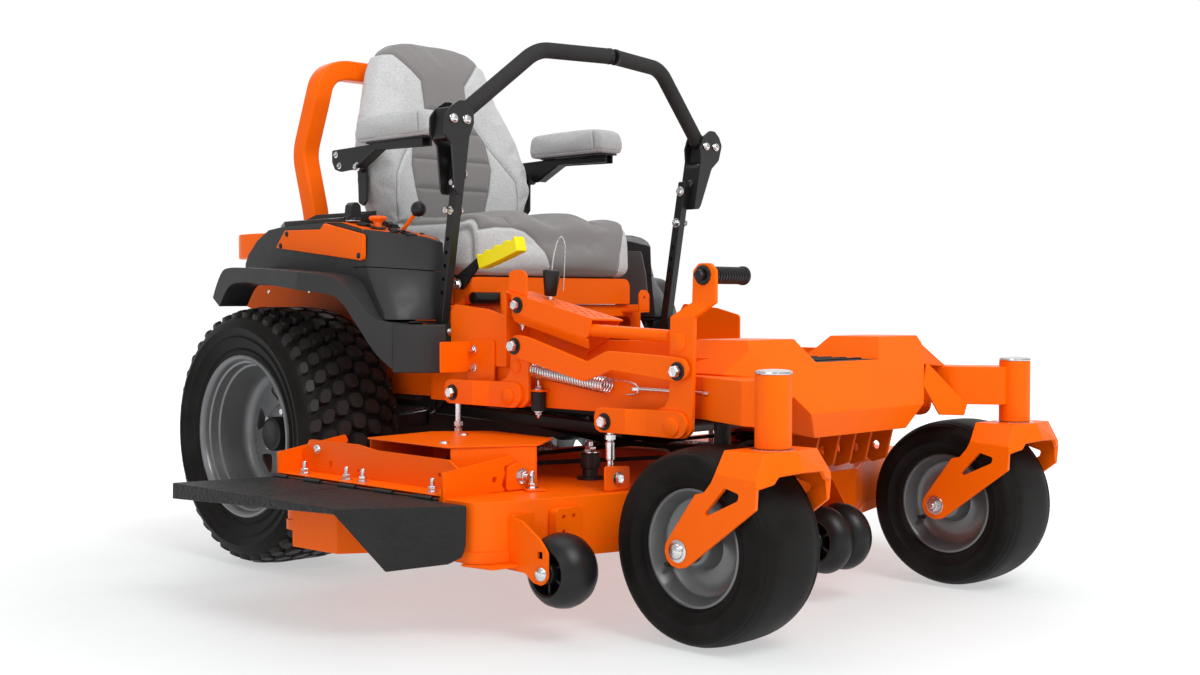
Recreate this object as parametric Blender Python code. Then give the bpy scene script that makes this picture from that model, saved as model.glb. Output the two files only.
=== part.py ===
"""Zero turn mower: three-blade side-discharge deck, twin lap bars, front casters.

Metres, +Z up.  The machine faces -Y and the operator's right is -X.  Shapes are laid
out from the rear axle's foot on the ground (y = 0) and the centre line (x = 0); the
root empty then shifts everything so that the middle of the footprint is the origin.
"""
import bpy
import bmesh
from math import cos, sin, pi
from mathutils import Vector

for o in list(bpy.data.objects):
    bpy.data.objects.remove(o, do_unlink=True)

# ---------------------------------------------------------------- driving dimensions
SHIFT = (0.0990, 0.4500, 0.0)     # layout point -> middle of the footprint
GAP = 0.0005                      # working gap between touching pieces

REAR_R, REAR_X0, REAR_X1 = 0.278, 0.310, 0.560      # 22 in drive tyre
REAR_RIM_R, REAR_LIP_X = 0.1686, 0.539              # 12 in rim
CAST_R, CAST_HW = 0.165, 0.0825                     # 13 x 6.5 in front tyre
CAST_RIM_R = 0.093                                  # 6 in rim
CAST_X, CAST_Y, TRAIL = 0.381, -1.309, 0.117        # swivel axis and trail
TUBE_Z0, TUBE_Z1, TUBE_R, BORE_R, STEM_R = 0.3326, 0.4516, 0.030, 0.0172, 0.0160
FORK_OUT, FORK_T, FORK_TOP = 0.097, 0.010, 0.3310

RAIL_X0, RAIL_X1, RAIL_Z0, RAIL_Z1 = 0.290, 0.340, 0.366, 0.440
RAIL_REAR = 0.400

DECK_TOP, DECK_BOT, DECK_T, DECK_X, DECK_REAR = 0.232, 0.129, 0.006, 0.660, -0.330
DECK_FRONT = [(0.660, -0.906), (0.420, -0.970), (0.300, -1.005), (0.220, -1.050)]
SPINDLES = {"right": (-0.430, -0.620), "centre": (0.0, -0.800), "left": (0.430, -0.620)}
BLADE_R, BLADE_W, BLADE_Z, BLADE_T = 0.215, 0.060, 0.150, 0.006
SCALP_R, SCALP_HW = 0.0625, 0.0225
SCALP_X, SCALP_Y, SCALP_Z = 0.570, -1.003, 0.1195
CENTRE_SCALP = (0.040, -1.120, 0.1195)

CHUTE_Y0, CHUTE_Y1 = -0.800, -0.300
CHUTE_HINGE = (-0.668, 0.2305)    # x, z

LIFT_F = (-1.089, 0.353)          # y, z of the front lift shaft
LIFT_R = (-0.670, 0.387)          # y, z of the rear lift shaft
LINK_F, LINK_R = (-1.106, 0.449), (-0.687, 0.483)
ARM_F, ARM_R = (-0.945, 0.355), (-0.526, 0.389)
LIFT_X0, LIFT_X1 = 0.364, 0.372   # crank plates, outside the rails
ROD_X = 0.3825

LAP_X, LAP_PIVOT, LAP_SWING_Z = 0.339, (-0.421, 0.468), 0.505
LAP_BAR = 0.0105                  # half width of the square lever
LAP_RAKE = -0.176                 # forward lean of the levers per metre of height
LAP_YOKE = (-0.503, -0.453, 0.781)  # front and rear cheek of the clamp at its foot, height there
SEAT_HINGE = (-0.4005, 0.5600)
ARMREST_PIVOT = (-0.037, 0.869)
BRAKE_PIVOT = (-0.285, -0.418, 0.603)
THROTTLE = (-0.370, -0.334, 0.7140)
PTO = (-0.400, -0.290, 0.7200)
KEY = (-0.410, -0.217, 0.7340)
FUEL = (0.380, -0.030, 0.7325)
HPIN, HPIN_DIR = (-0.310, -0.7115, 0.5745), (0.0, -0.479, 0.878)

ROOT = bpy.data.objects.new("layout", None)
bpy.context.scene.collection.objects.link(ROOT)
ROOT.location = SHIFT

# ---------------------------------------------------------------- materials
ORANGE = (0.80, 0.155, 0.012)
BLACK = (0.018, 0.018, 0.019)
CHARCOAL = (0.045, 0.046, 0.048)
RUBBER = (0.022, 0.021, 0.021)
STEEL = (0.55, 0.55, 0.56)
RIMGREY = (0.30, 0.30, 0.31)
FABRIC = (0.52, 0.52, 0.51)
ALLOY = (0.42, 0.42, 0.43)
YELLOW = (0.85, 0.68, 0.02)


def material(name, colour, rough, metal):
    m = bpy.data.materials.new(name)
    m.use_nodes = True
    b = m.node_tree.nodes["Principled BSDF"]
    b.inputs["Base Color"].default_value = (*colour, 1.0)
    b.inputs["Roughness"].default_value = rough
    b.inputs["Metallic"].default_value = metal
    m.diffuse_color = (*colour, 1.0)
    return m


# ---------------------------------------------------------------- shape helpers
def closed(bm):
    bmesh.ops.remove_doubles(bm, verts=bm.verts[:], dist=1e-6)
    bmesh.ops.recalc_face_normals(bm, faces=bm.faces[:])
    return bm


def place(axis, u, v, a):
    return {"x": (a, u, v), "y": (u, a, v), "z": (u, v, a)}[axis]


def prism(axis, pts, a0, a1, lean=None):
    """Outline in the plane across `axis`, drawn from a0 to a1; lean shifts x with z."""
    bm = bmesh.new()
    loops = []
    for a in (a0, a1):
        vs = []
        for u, v in pts:
            p = list(place(axis, u, v, a))
            if lean:
                p[0] += lean(p[2])
            vs.append(bm.verts.new(p))
        loops.append(vs)
    n = len(pts)
    bm.faces.new(loops[0])
    bm.faces.new(list(reversed(loops[1])))
    for i in range(n):
        j = (i + 1) % n
        bm.faces.new((loops[0][i], loops[1][i], loops[1][j], loops[0][j]))
    return closed(bm)


def box(x0, x1, y0, y1, z0, z1):
    return prism("z", [(x0, y0), (x1, y0), (x1, y1), (x0, y1)], z0, z1)


def cyl(p0, p1, r, n=20, r1=None):
    p0, p1 = Vector(p0), Vector(p1)
    d = (p1 - p0).normalized()
    u = d.orthogonal().normalized()
    if abs(d.z) < 0.5:
        u = Vector((0, 0, -1)) - d * d.dot(Vector((0, 0, -1)))
        u.normalize()
    w = d.cross(u)
    bm = bmesh.new()
    rings = []
    for p, rr in ((p0, r), (p1, r if r1 is None else r1)):
        rings.append([bm.verts.new(p + (u * cos(2 * pi * i / n) + w * sin(2 * pi * i / n)) * rr)
                      for i in range(n)])
    bm.faces.new(rings[0])
    bm.faces.new(list(reversed(rings[1])))
    for i in range(n):
        j = (i + 1) % n
        bm.faces.new((rings[0][i], rings[1][i], rings[1][j], rings[0][j]))
    return closed(bm)


def turned(axis, centre, profile, n):
    """Closed profile of (radius, along) turned about x or z through centre.
    A point of the ring lies straight below the axis, so a wheel stands on it."""
    bm = bmesh.new()
    rings = []
    for i in range(n):
        t = 2 * pi * i / n
        ring = []
        for r, a in profile:
            if axis == "x":
                p = (centre[0] + a, centre[1] + r * sin(t), centre[2] - r * cos(t))
            else:
                p = (centre[0] + r * cos(t), centre[1] + r * sin(t), centre[2] + a)
            ring.append(bm.verts.new(p))
        rings.append(ring)
    m = len(profile)
    for i in range(n):
        i2 = (i + 1) % n
        for k in range(m):
            k2 = (k + 1) % m
            bm.faces.new((rings[i][k], rings[i2][k], rings[i2][k2], rings[i][k2]))
    return closed(bm)


def sweep(path, section, up):
    """Section of (across, up) points carried along a path with mitred corners."""
    path = [Vector(p) for p in path]
    up = Vector(up)
    bm = bmesh.new()
    rings = []
    for i, p in enumerate(path):
        din = (p - path[i - 1]).normalized() if i else None
        dout = (path[i + 1] - p).normalized() if i + 1 < len(path) else None
        a = din or dout
        b = dout or din
        t = (a + b).normalized()
        side = a.cross(up).normalized()
        top = side.cross(a)
        ring = []
        for u, v in section:
            q = side * u + top * v
            # slide along the incoming run until the mitre plane is met
            k = -q.dot(t) / a.dot(t)
            ring.append(bm.verts.new(p + q + a * k))
        rings.append(ring)
    m = len(section)
    bm.faces.new(rings[0])
    bm.faces.new(list(reversed(rings[-1])))
    for i in range(len(rings) - 1):
        for k in range(m):
            k2 = (k + 1) % m
            bm.faces.new((rings[i][k], rings[i + 1][k], rings[i + 1][k2], rings[i][k2]))
    return closed(bm)


def ring_section(r, n):
    return [(r * cos(2 * pi * i / n), r * sin(2 * pi * i / n)) for i in range(n)]


def hull(pts):
    bm = bmesh.new()
    vs = [bm.verts.new(p) for p in pts]
    out = bmesh.ops.convex_hull(bm, input=vs)
    loose = [v for v in bm.verts if not v.link_faces]
    bmesh.ops.delete(bm, geom=loose, context="VERTS")
    return closed(bm)


def loft_x(rows):
    """Outline in YZ whose points each have their own half width, mirrored about x = 0."""
    bm = bmesh.new()
    lo = [bm.verts.new((-w, y, z)) for y, z, w in rows]
    hi = [bm.verts.new((w, y, z)) for y, z, w in rows]
    n = len(rows)
    bm.faces.new(lo)
    bm.faces.new(list(reversed(hi)))
    for i in range(n):
        j = (i + 1) % n
        bm.faces.new((lo[i], hi[i], hi[j], lo[j]))
    return closed(bm)


def stack_z(sections):
    """Closed solid through level sections of equal point counts: (z, [(x, y), ...])."""
    bm = bmesh.new()
    rings = [[bm.verts.new((x, y, z)) for x, y in pts] for z, pts in sections]
    n = len(rings[0])
    bm.faces.new(rings[0])
    bm.faces.new(list(reversed(rings[-1])))
    for a, b in zip(rings, rings[1:]):
        for i in range(n):
            j = (i + 1) % n
            bm.faces.new((a[i], b[i], b[j], a[j]))
    return closed(bm)


def rounded(x0, x1, y0, y1, c):
    return [(x0 + c, y0), (x1 - c, y0), (x1, y0 + c), (x1, y1 - c),
            (x1 - c, y1), (x0 + c, y1), (x0, y1 - c), (x0, y0 + c)]


def warp(bm, move):
    """Shift every point by move(point)."""
    for v in bm.verts:
        v.co += Vector(move(v.co))
    return bm


def along(p, d, t):
    return tuple(a + b * t for a, b in zip(p, d))


def to_object(name, bm, origin):
    o = Vector(origin)
    for v in bm.verts:
        v.co -= o
    me = bpy.data.meshes.new(name)
    bm.to_mesh(me)
    bm.free()
    ob = bpy.data.objects.new(name, me)
    bpy.context.scene.collection.objects.link(ob)
    ob.parent = ROOT
    ob.location = o
    return ob


def piece(name, bm, colour, rough, metal=0.0, origin=(0, 0, 0), add=(), cut=(), smooth=False):
    """One sub-part; add and cut are shapes joined to it and taken from it."""
    ob = to_object(name, bm, origin)
    ob.data.materials.append(material(name + "_finish", colour, rough, metal))
    if smooth:
        ob.data.shade_smooth()
        ob.data.set_sharp_from_angle(angle=0.6)
    for op, shapes in (("UNION", add), ("DIFFERENCE", cut)):
        for i, shape in enumerate(shapes):
            tool = to_object("%s_%s%d" % (name, op.lower(), i), shape, origin)
            tool.hide_render = True
            tool.display_type = "WIRE"
            m = ob.modifiers.new(op.lower() + str(i), "BOOLEAN")
            m.operation = op
            m.solver = "EXACT"
            m.object = tool
    return ob


def sx(s, pts):
    """Outline drawn on the left (+X) put on side s."""
    return [(s * x, y) for x, y in pts]


def span(s, a, b):
    """x range drawn on the left put on side s."""
    return (a, b) if s > 0 else (-b, -a)


SIDES = (("right", -1), ("left", 1))

# ---------------------------------------------------------------- frame
for side, s in SIDES:
    # the rails step in between the drive wheels and flare out to the caster tubes
    plan = [(0.225, RAIL_REAR), (0.275, RAIL_REAR), (0.275, -0.320), (RAIL_X1, -0.385), (RAIL_X1, -1.120),
            (0.404, -1.262), (0.404, -1.309), (0.340, -1.309), (RAIL_X0, -1.225), (RAIL_X0, -0.362), (0.225, -0.297)]
    tube = cyl((s * CAST_X, CAST_Y, TUBE_Z0), (s * CAST_X, CAST_Y, TUBE_Z1), TUBE_R, 24)
    bore = cyl((s * CAST_X, CAST_Y, TUBE_Z0 - .01), (s * CAST_X, CAST_Y, TUBE_Z1 + .01), BORE_R, 24)
    shaft_hole = cyl((s * 0.25, *LIFT_R), (s * 0.38, *LIFT_R), 0.0140, 20)
    piece("frame_rail_" + side, prism("z", sx(s, plan), RAIL_Z0, RAIL_Z1), ORANGE, 0.35,
          add=[tube], cut=[bore, shaft_hole])

piece("front_crossmember", box(-RAIL_X0 + GAP, RAIL_X0 - GAP, -1.165, -1.115, 0.372, 0.438), ORANGE, 0.4)

pan = [(-0.420, 0.452, .285), (-1.100, 0.452, .285), (-1.184, 0.459, .262), (-1.233, 0.372, .178),
       (-1.215, 0.327, .144), (-1.2065, 0.330, .143), (-1.2220, 0.3725, .176), (-1.1760, 0.4415, .258),
       (-1.100, 0.4415, .285), (-0.420, 0.4415, .285)]
humps = []
for side, s in SIDES:
    humps.append(hull([(s * x, y, z) for x, y, z in (
        (.099, -1.182, .4560), (.282, -1.150, .4560), (.282, -1.000, .4480), (.099, -1.000, .4480),
        (.099, -1.182, .4470), (.282, -1.150, .4470),
        (.132, -1.162, .501), (.265, -1.148, .499), (.262, -1.045, .500), (.135, -1.045, .500))]))
piece("floor_pan", loft_x(pan), ORANGE, 0.33, add=humps)

piece("seat_tower", box(-.288, .288, -.390, .100, 0.4405, 0.5595), ORANGE, 0.4,
      cut=[box(-.282, .282, -.384, .094, 0.430, 0.5535)])
piece("rear_frame", box(-.2240, .2240, -.150, .400, 0.400, 0.412), ORANGE, 0.4)

bar = [(-.010, -.030), (.010, -.030), (.010, .030), (-.010, .030)]
piece("rear_bumper", sweep([(-.30, .20, .70), (-.30, .395, .70), (-.255, .4500, .70), (.255, .4500, .70),
                            (.30, .395, .70), (.30, .20, .70)], bar, (0, 0, 1)), ORANGE, 0.35,
      add=[box(-.287, -.262, .405, .435, .4125, .690), box(.262, .287, .405, .435, .4125, .690),
           box(-.280, .280, .405, .4395, .4125, .460)])

sq = [(-.023, -.023), (.023, -.023), (.023, .023), (-.023, .023)]
half = [(-.25, .136, .4410), (-.25, .149, .765), (-.25, .196, .915), (-.25, .141, 1.045),
        (-.243, .139, 1.078), (-.222, .138, 1.102), (-.190, .137, 1.112)]
hoop = half + [(-x, y, z) for x, y, z in reversed(half)]
piece("roll_hoop", sweep(hoop, sq, (0, 1, 0.001)), ORANGE, 0.35)

# ---------------------------------------------------------------- fenders and controls
arch = [(.125, .575), (.112, .600), (.092, .628), (.071, .641), (-.018, .639), (-.140, .632), (-.240, .625),
        (-.281, .617), (-.313, .582), (-.345, .538), (-.368, .526), (-.400, .523), (-.402, .422), (-.386, .428),
        (-.356, .460), (-.318, .525), (-.287, .573), (-.262, .584), (-.140, .598), (-.009, .609), (.045, .606),
        (.070, .592), (.098, .556)]
pod = [(.149, .668), (.142, .681), (.102, .709), (.057, .727), (.013, .729), (-.100, .732), (-.167, .733),
       (-.217, .7320), (-.290, .7160), (-.335, .7085), (-.381, .699), (-.404, .687), (-.404, .540), (-.345, .545),
       (-.300, .600), (.149, .635)]
# in plan the flare narrows towards its front foot, and the pod's front is turned outwards
flare_off = [(.540, -.200), (.440, -.386), (.425, -.450), (.700, -.450), (.700, -.200)]
front_off = [(.300, -.420), (.323, -.400), (.420, -.315), (.441, -.295), (.470, -.295), (.470, -.450), (.300, -.450)]
for side, s in SIDES:
    shell = prism("x", pod, *span(s, .320, .440))
    nose = to_object("pod_%s_blank" % side, shell, (0, 0, 0))
    nose.hide_render, nose.display_type = True, "WIRE"
    knife = to_object("pod_%s_knife" % side, prism("z", sx(s, front_off), .50, .80), (0, 0, 0))
    knife.hide_render, knife.display_type = True, "WIRE"
    m = nose.modifiers.new("front", "BOOLEAN")
    m.operation, m.solver, m.object = "DIFFERENCE", "EXACT", knife
    ob = piece("fender_" + side, prism("x", arch, *span(s, .372, .540)), CHARCOAL, 0.45)
    knife = to_object("fender_%s_knife" % side, prism("z", sx(s, flare_off), .40, .70), (0, 0, 0))
    knife.hide_render, knife.display_type = True, "WIRE"
    for op, tool in (("DIFFERENCE", knife), ("UNION", nose)):
        m = ob.modifiers.new(op.lower(), "BOOLEAN")
        m.operation, m.solver, m.object = op, "EXACT", tool

panel = [(.016, .684), (-.020, .721), (-.152, .719), (-.167, .731), (-.304, .704), (-.304, .650)]
piece("control_panel", prism("x", panel, -.4490, -.4405), ORANGE, 0.35)

BALL = (THROTTLE[0], -.384, .753)
piece("throttle_lever", sweep([THROTTLE, (THROTTLE[0], THROTTLE[1] - .006, THROTTLE[2] + .004), BALL],
                              ring_section(.0050, 10), (1, 0, 0)),
      BLACK, 0.35, origin=THROTTLE,
      add=[turned("z", BALL, [(.0015, -.0155), (.0100, -.0118), (.0155, 0), (.0100, .0118), (.0015, .0155)], 16)])
piece("pto_knob", cyl(PTO, (PTO[0], PTO[1], PTO[2] + .024), .012, 20, .018), ORANGE, 0.3, origin=PTO)
piece("key_knob", cyl(KEY, (KEY[0], KEY[1], KEY[2] + .026), .013, 16, .010), BLACK, 0.4, origin=KEY)
piece("fuel_cap", cyl(FUEL, (FUEL[0], FUEL[1], FUEL[2] + .026), .038, 24, .034), BLACK, 0.5, origin=FUEL)

lever = [(BRAKE_PIVOT[1] + .016, BRAKE_PIVOT[2] - .010), (BRAKE_PIVOT[1] + .010, BRAKE_PIVOT[2] + .016),
         (-.480, .664), (-.604, .697), (-.613, .673), (-.490, .640)]
piece("brake_lever", prism("x", lever, -.291, -.279), YELLOW, 0.45, origin=BRAKE_PIVOT)

# ---------------------------------------------------------------- power train
piece("engine_block", box(-.150, .150, .130, .325, 0.4125, 0.5500), ALLOY, 0.5)
piece("engine_shroud", cyl((0, .268, .5505), (0, .268, .7150), .160, 28, .150), BLACK, 0.5)
piece("muffler", cyl((-.130, .366, .480), (.130, .366, .480), .034, 20), STEEL, 0.4, 0.8)
for side, s in SIDES:
    case = box(*span(s, .150, .285), -.085, .085, .205, .365)
    shaft = cyl((s * .280, 0, REAR_R), (s * .3095, 0, REAR_R), .018, 20)
    piece("transaxle_" + side, case, ALLOY, 0.5, 0.3, add=[shaft])

# ---------------------------------------------------------------- drive wheels
tyre_r = [(.1690 + .004, .330), (.2100, .313), (.2450, .314), (.2650, .325), (.2760, .350), (REAR_R, .390),
          (REAR_R, .480), (.2760, .520), (.2650, .545), (.2450, .556), (.2100, .557), (.1730, .541)]
rim_r = [(.030, .310), (.030, .372), (.110, .380), (.128, .400), (.140, .520), (REAR_RIM_R, .5390),
         (REAR_RIM_R, .5300), (.152, .500), (.152, .370), (REAR_RIM_R, .345), (REAR_RIM_R, .335),
         (.140, .345), (.130, .366), (.090, .3640), (.060, .310)]
for side, s in SIDES:
    hub = (0, 0, REAR_R)
    rim = turned("x", (0, 0, REAR_R), [(r, s * a) for r, a in rim_r], 28)
    cap = cyl((s * .3600, 0, REAR_R), (s * .4000, 0, REAR_R), .046, 20, .040)
    piece("rear_tyre_" + side, turned("x", (0, 0, REAR_R), [(r, s * a) for r, a in tyre_r], 36), RUBBER, 0.8,
          origin=hub, smooth=True)
    piece("rear_rim_" + side, rim, RIMGREY, 0.4, 0.4, origin=hub, add=[cap], smooth=True)

# ---------------------------------------------------------------- casters
AX_Y, AX_Z = CAST_Y + TRAIL, CAST_R
leg = [(-1.3600, FORK_TOP), (-1.2500, FORK_TOP), (-1.2480, .285), (-1.1640, .185), (-1.1640, .150),
       (-1.1850, .1370), (-1.2120, .1450), (-1.3550, .2550)]
tyre_c = [(.0960, -.0600), (.1250, -.0760), (.1450, -.0820), (.1560, -.0740), (.1625, -.0550), (CAST_R, -.0300),
          (CAST_R, .0300), (.1625, .0550), (.1560, .0740), (.1450, .0820), (.1250, .0760), (.0960, .0600)]
rim_c = [(.0100, -.0600), (.0240, -.0600), (.0280, -.0220), (.0600, -.0180), (.0720, -.0420), (CAST_RIM_R, -.0540),
         (CAST_RIM_R, .0540), (.0720, .0420), (.0600, .0180), (.0280, .0220), (.0240, .0600), (.0100, .0600)]
for side, s in SIDES:
    cx = s * CAST_X
    top = (cx, CAST_Y, FORK_TOP)
    outer = prism("x", leg, cx - FORK_OUT, cx - FORK_OUT + FORK_T)
    inner = prism("x", leg, cx + FORK_OUT - FORK_T, cx + FORK_OUT)
    crown = box(cx - FORK_OUT + .002, cx + FORK_OUT - .002, -1.3600, -1.2600, .3180, FORK_TOP)
    stem = cyl((cx, CAST_Y, .3200), (cx, CAST_Y, .4480), STEM_R, 24)
    axle = cyl((cx - FORK_OUT + .002, AX_Y, AX_Z), (cx + FORK_OUT - .002, AX_Y, AX_Z), .0085, 16)
    piece("caster_fork_" + side, crown, ORANGE, 0.35, origin=top, add=[outer, inner, stem, axle])
    hub = (cx, AX_Y, AX_Z)
    piece("caster_tyre_" + side, turned("x", hub, tyre_c, 28), RUBBER, 0.7, origin=hub, smooth=True)
    piece("caster_rim_" + side, turned("x", hub, rim_c, 22), RIMGREY, 0.4, 0.4, origin=hub, smooth=True)

# ---------------------------------------------------------------- lap bars
def lap_y(z):
    return -.4275 + LAP_RAKE * (z - .543)


yf, yr, zf = LAP_YOKE
cheek = [(.349, .781), (.364, .782), (.370, .790), (.391, .876), (.412, .896), (.416, .930), (.403, .948), (.385, .961),
         (.368, .962), (.346, .946), (.341, .920), (.349, .893)]
rake = lambda p: (0, LAP_RAKE * (p.z - zf), 0)
for side, s in SIDES:
    y, z = LAP_PIVOT
    boss = cyl((s * .2885, y, z), (s * .366, y, z), .0180, 20)
    ear = [(s * .322, .466), (s * .358, .466), (s * .358, .522), (s * .322, .522)]
    web = box(*span(s, .322, .358), y - .0250, y + .0250, .4600, .4800)
    pin = cyl((s * LAP_X, y - .0230, LAP_SWING_Z), (s * LAP_X, y + .0230, LAP_SWING_Z), .0055, 16)
    piece("lap_pivot_" + side, boss, BLACK, 0.4, 0.2, origin=(s * LAP_X, y, z),
          add=[web, prism("y", ear, y - .0260, y - .0200), prism("y", ear, y + .0200, y + .0260), pin])
    b0, b1, zb, zt = lap_y(.4930), lap_y(.8450), .4930, .8450
    bar = [(b0 - LAP_BAR, zb), (b0 + LAP_BAR, zb), (b1 + LAP_BAR, zt), (b1 - LAP_BAR, zt)]
    ys = lap_y(LAP_SWING_Z)
    hole = cyl((s * LAP_X, ys - .030, LAP_SWING_Z), (s * LAP_X, ys + .030, LAP_SWING_Z), .0062, 16)
    knuckle = cyl((s * LAP_X, ys - LAP_BAR, LAP_SWING_Z), (s * LAP_X, ys + LAP_BAR, LAP_SWING_Z), .0125, 16)
    back = prism("x", [(yf + .002, zf), (yr - .002, zf), (yr - .002, .877), (yf + .002, .877)], *span(s, .3485, .3545))
    front = prism("y", sx(s, cheek), yf, yf + .005)
    rear = prism("y", sx(s, cheek), yr - .005, yr)
    piece("lap_arm_" + side, prism("x", bar, *span(s, LAP_X - .0100, LAP_X + .0100)), BLACK, 0.4, 0.2,
          origin=(s * LAP_X, ys, LAP_SWING_Z), cut=[hole],
          add=[knuckle, warp(back, rake), warp(front, rake), warp(rear, rake)])
    tube = [(s * .3720, -.5008, .9240), (s * .1970, -.5400, 1.0720), (s * .1700, -.5440, 1.0830), (s * .0040, -.5760, 1.0850)]
    clamp = prism("y", [(s * .3555, .886), (s * .4060, .886), (s * .4060, .948), (s * .3555, .948)], yf + .0056, yr - .0056)
    piece("lap_handle_" + side, sweep(tube, ring_section(.0165, 12), (0, 1, 0)), BLACK, 0.7,
          origin=(s * LAP_X, ys, LAP_SWING_Z), smooth=True, add=[warp(clamp, rake)])

# ---------------------------------------------------------------- seat
hinge = (0, *SEAT_HINGE)
piece("seat_platform", box(-.240, .240, -.4000, .0600, 0.5605, 0.6200), ORANGE, 0.35, origin=hinge,
      cut=[box(-.234, .234, -.3940, .0540, 0.5500, 0.6140)])
piece("seat_cushion", stack_z([(.6205, rounded(-.225, .225, -.405, -.080, .030)),
                               (.6400, rounded(-.238, .238, -.420, -.072, .045)),
                               (.7200, rounded(-.238, .238, -.422, -.072, .050)),
                               (.7520, rounded(-.215, .215, -.395, -.085, .060))]), FABRIC, 0.9, origin=hinge, smooth=True)
back = [(.6400, .190, -.0660, .0300), (.7800, .222, -.0620, .0550), (.8800, .236, -.0550, .0750), (.9700, .229, -.0400, .0850),
        (1.0400, .205, -.0220, .0950), (1.0900, .180, -.0080, .0980), (1.1400, .140, .0100, .0980), (1.1900, .080, .0300, .0920)]
piece("seat_back", stack_z([(z, [(-w + .018, yf), (w - .018, yf), (w, yf + .022), (w - .012, yf + .055), (w - .052, yb),
                                 (-w + .052, yb), (-w + .012, yf + .055), (-w, yf + .022)]) for z, w, yf, yb in back]),
      FABRIC, 0.9, origin=hinge, smooth=True)
for side, s in SIDES:
    pad = stack_z([(.9160, rounded(*span(s, .241, .315), -.3120, -.0790, .012)),
                   (.9220, rounded(*span(s, .239, .317), -.3140, -.0770, .014)),
                   (.9480, rounded(*span(s, .239, .317), -.3100, -.0810, .014)),
                   (.9680, rounded(*span(s, .243, .313), -.2920, -.0970, .014)),
                   (.9770, rounded(*span(s, .252, .304), -.2720, -.1120, .014))])
    arm = [(.061, .913), (.061, .886), (.050, .868), (.028, .862), (-.005, .864), (-.0605, .863), (-.1365, .901),
           (-.298, .8975), (-.298, .9200), (-.090, .9200), (-.075, .9160)]
    piece("armrest_" + side, pad, FABRIC, 0.9, origin=(s * .265, *ARMREST_PIVOT), add=[prism("x", arm, *span(s, .2620, .2680))])

# ---------------------------------------------------------------- mower deck
plan = DECK_FRONT + [(-x, y) for x, y in reversed(DECK_FRONT)] + [(-DECK_X, DECK_REAR), (DECK_X, DECK_REAR)]
t = DECK_T
inside = [(x - t if x > 0 else x + t, y + t * 1.15) for x, y in DECK_FRONT + [(-x, y) for x, y in reversed(DECK_FRONT)]]
inside += [(-DECK_X + t, DECK_REAR - t), (DECK_X - t, DECK_REAR - t)]
cuts = [prism("z", inside, DECK_BOT - .02, DECK_TOP - t),
        box(-.700, -.640, -.790, -.380, DECK_BOT - .02, DECK_TOP - t - .004)]
for x, y in SPINDLES.values():
    cuts.append(cyl((x, y, DECK_TOP - .03), (x, y, DECK_TOP + .02), .0300, 20))
adds = []
tab = [(-.890, .222), (-.935, .222), (-1.012, .140), (-1.018, .112), (-1.000, .100), (-.975, .104), (-.890, .165)]
for side, s in SIDES:
    adds.append(prism("x", tab, *span(s, SCALP_X + SCALP_HW + .003, SCALP_X + SCALP_HW + .009)))
    adds.append(cyl((s * (SCALP_X - SCALP_HW), SCALP_Y, SCALP_Z), (s * (SCALP_X + SCALP_HW + .006), SCALP_Y, SCALP_Z), .0060, 14))
ctab = [(-1.040, .200), (-1.060, .200), (-1.135, .140), (-1.138, .112), (-1.120, .100), (-1.095, .104), (-1.040, .150)]
cx, cy, cz = CENTRE_SCALP
adds.append(prism("x", ctab, cx + .046, cx + .052))
adds.append(cyl((cx - .042, cy, cz), (cx + .050, cy, cz), .0060, 14))
piece("deck_shell", prism("z", plan, DECK_BOT, DECK_TOP), ORANGE, 0.35, add=adds, cut=cuts)

wheel = [(.0072, -SCALP_HW), (.0500, -SCALP_HW), (.0600, -.0180), (SCALP_R, -.0060), (SCALP_R, .0060), (.0600, .0180),
         (.0500, SCALP_HW), (.0072, SCALP_HW)]
for side, s in SIDES:
    c = (s * SCALP_X, SCALP_Y, SCALP_Z)
    piece("scalp_wheel_" + side, turned("x", c, wheel, 22), BLACK, 0.55, origin=c, smooth=True)
pair = [(.0072, -.0420), (.0500, -.0420), (SCALP_R, -.0320), (SCALP_R, -.0120), (.0450, -.0030), (.0450, .0030),
        (SCALP_R, .0120), (SCALP_R, .0320), (.0500, .0420), (.0072, .0420)]
piece("scalp_wheel_centre", turned("x", CENTRE_SCALP, pair, 22), BLACK, 0.55, origin=CENTRE_SCALP, smooth=True)

for side, s in SIDES:
    outer = box(*span(s, .400, .594), -.760, -.460, DECK_TOP + GAP, .3120)
    hollow = box(*span(s, .380, .588), -.754, -.466, DECK_TOP - .01, .3060)
    piece("belt_cover_" + side, outer, ORANGE, 0.35, cut=[hollow])

for side, (x, y) in SPINDLES.items():
    blade = box(x - BLADE_R, x + BLADE_R, y - BLADE_W / 2, y + BLADE_W / 2, BLADE_Z, BLADE_Z + BLADE_T)
    blade = prism("z", [(x - BLADE_R, y - BLADE_W / 2), (x + BLADE_R - .02, y - BLADE_W / 2), (x + BLADE_R, y - BLADE_W / 2 + .02),
                        (x + BLADE_R, y + BLADE_W / 2), (x - BLADE_R + .02, y + BLADE_W / 2), (x - BLADE_R, y + BLADE_W / 2 - .02)],
                  BLADE_Z, BLADE_Z + BLADE_T)
    shaft = cyl((x, y, BLADE_Z - .010), (x, y, .2850), .0130, 16)
    pulley = cyl((x, y, .2480), (x, y, .2700), .0480, 24)
    piece("blade_" + side, blade, STEEL, 0.45, 0.8, origin=(x, y, BLADE_Z), add=[shaft, pulley])

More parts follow.
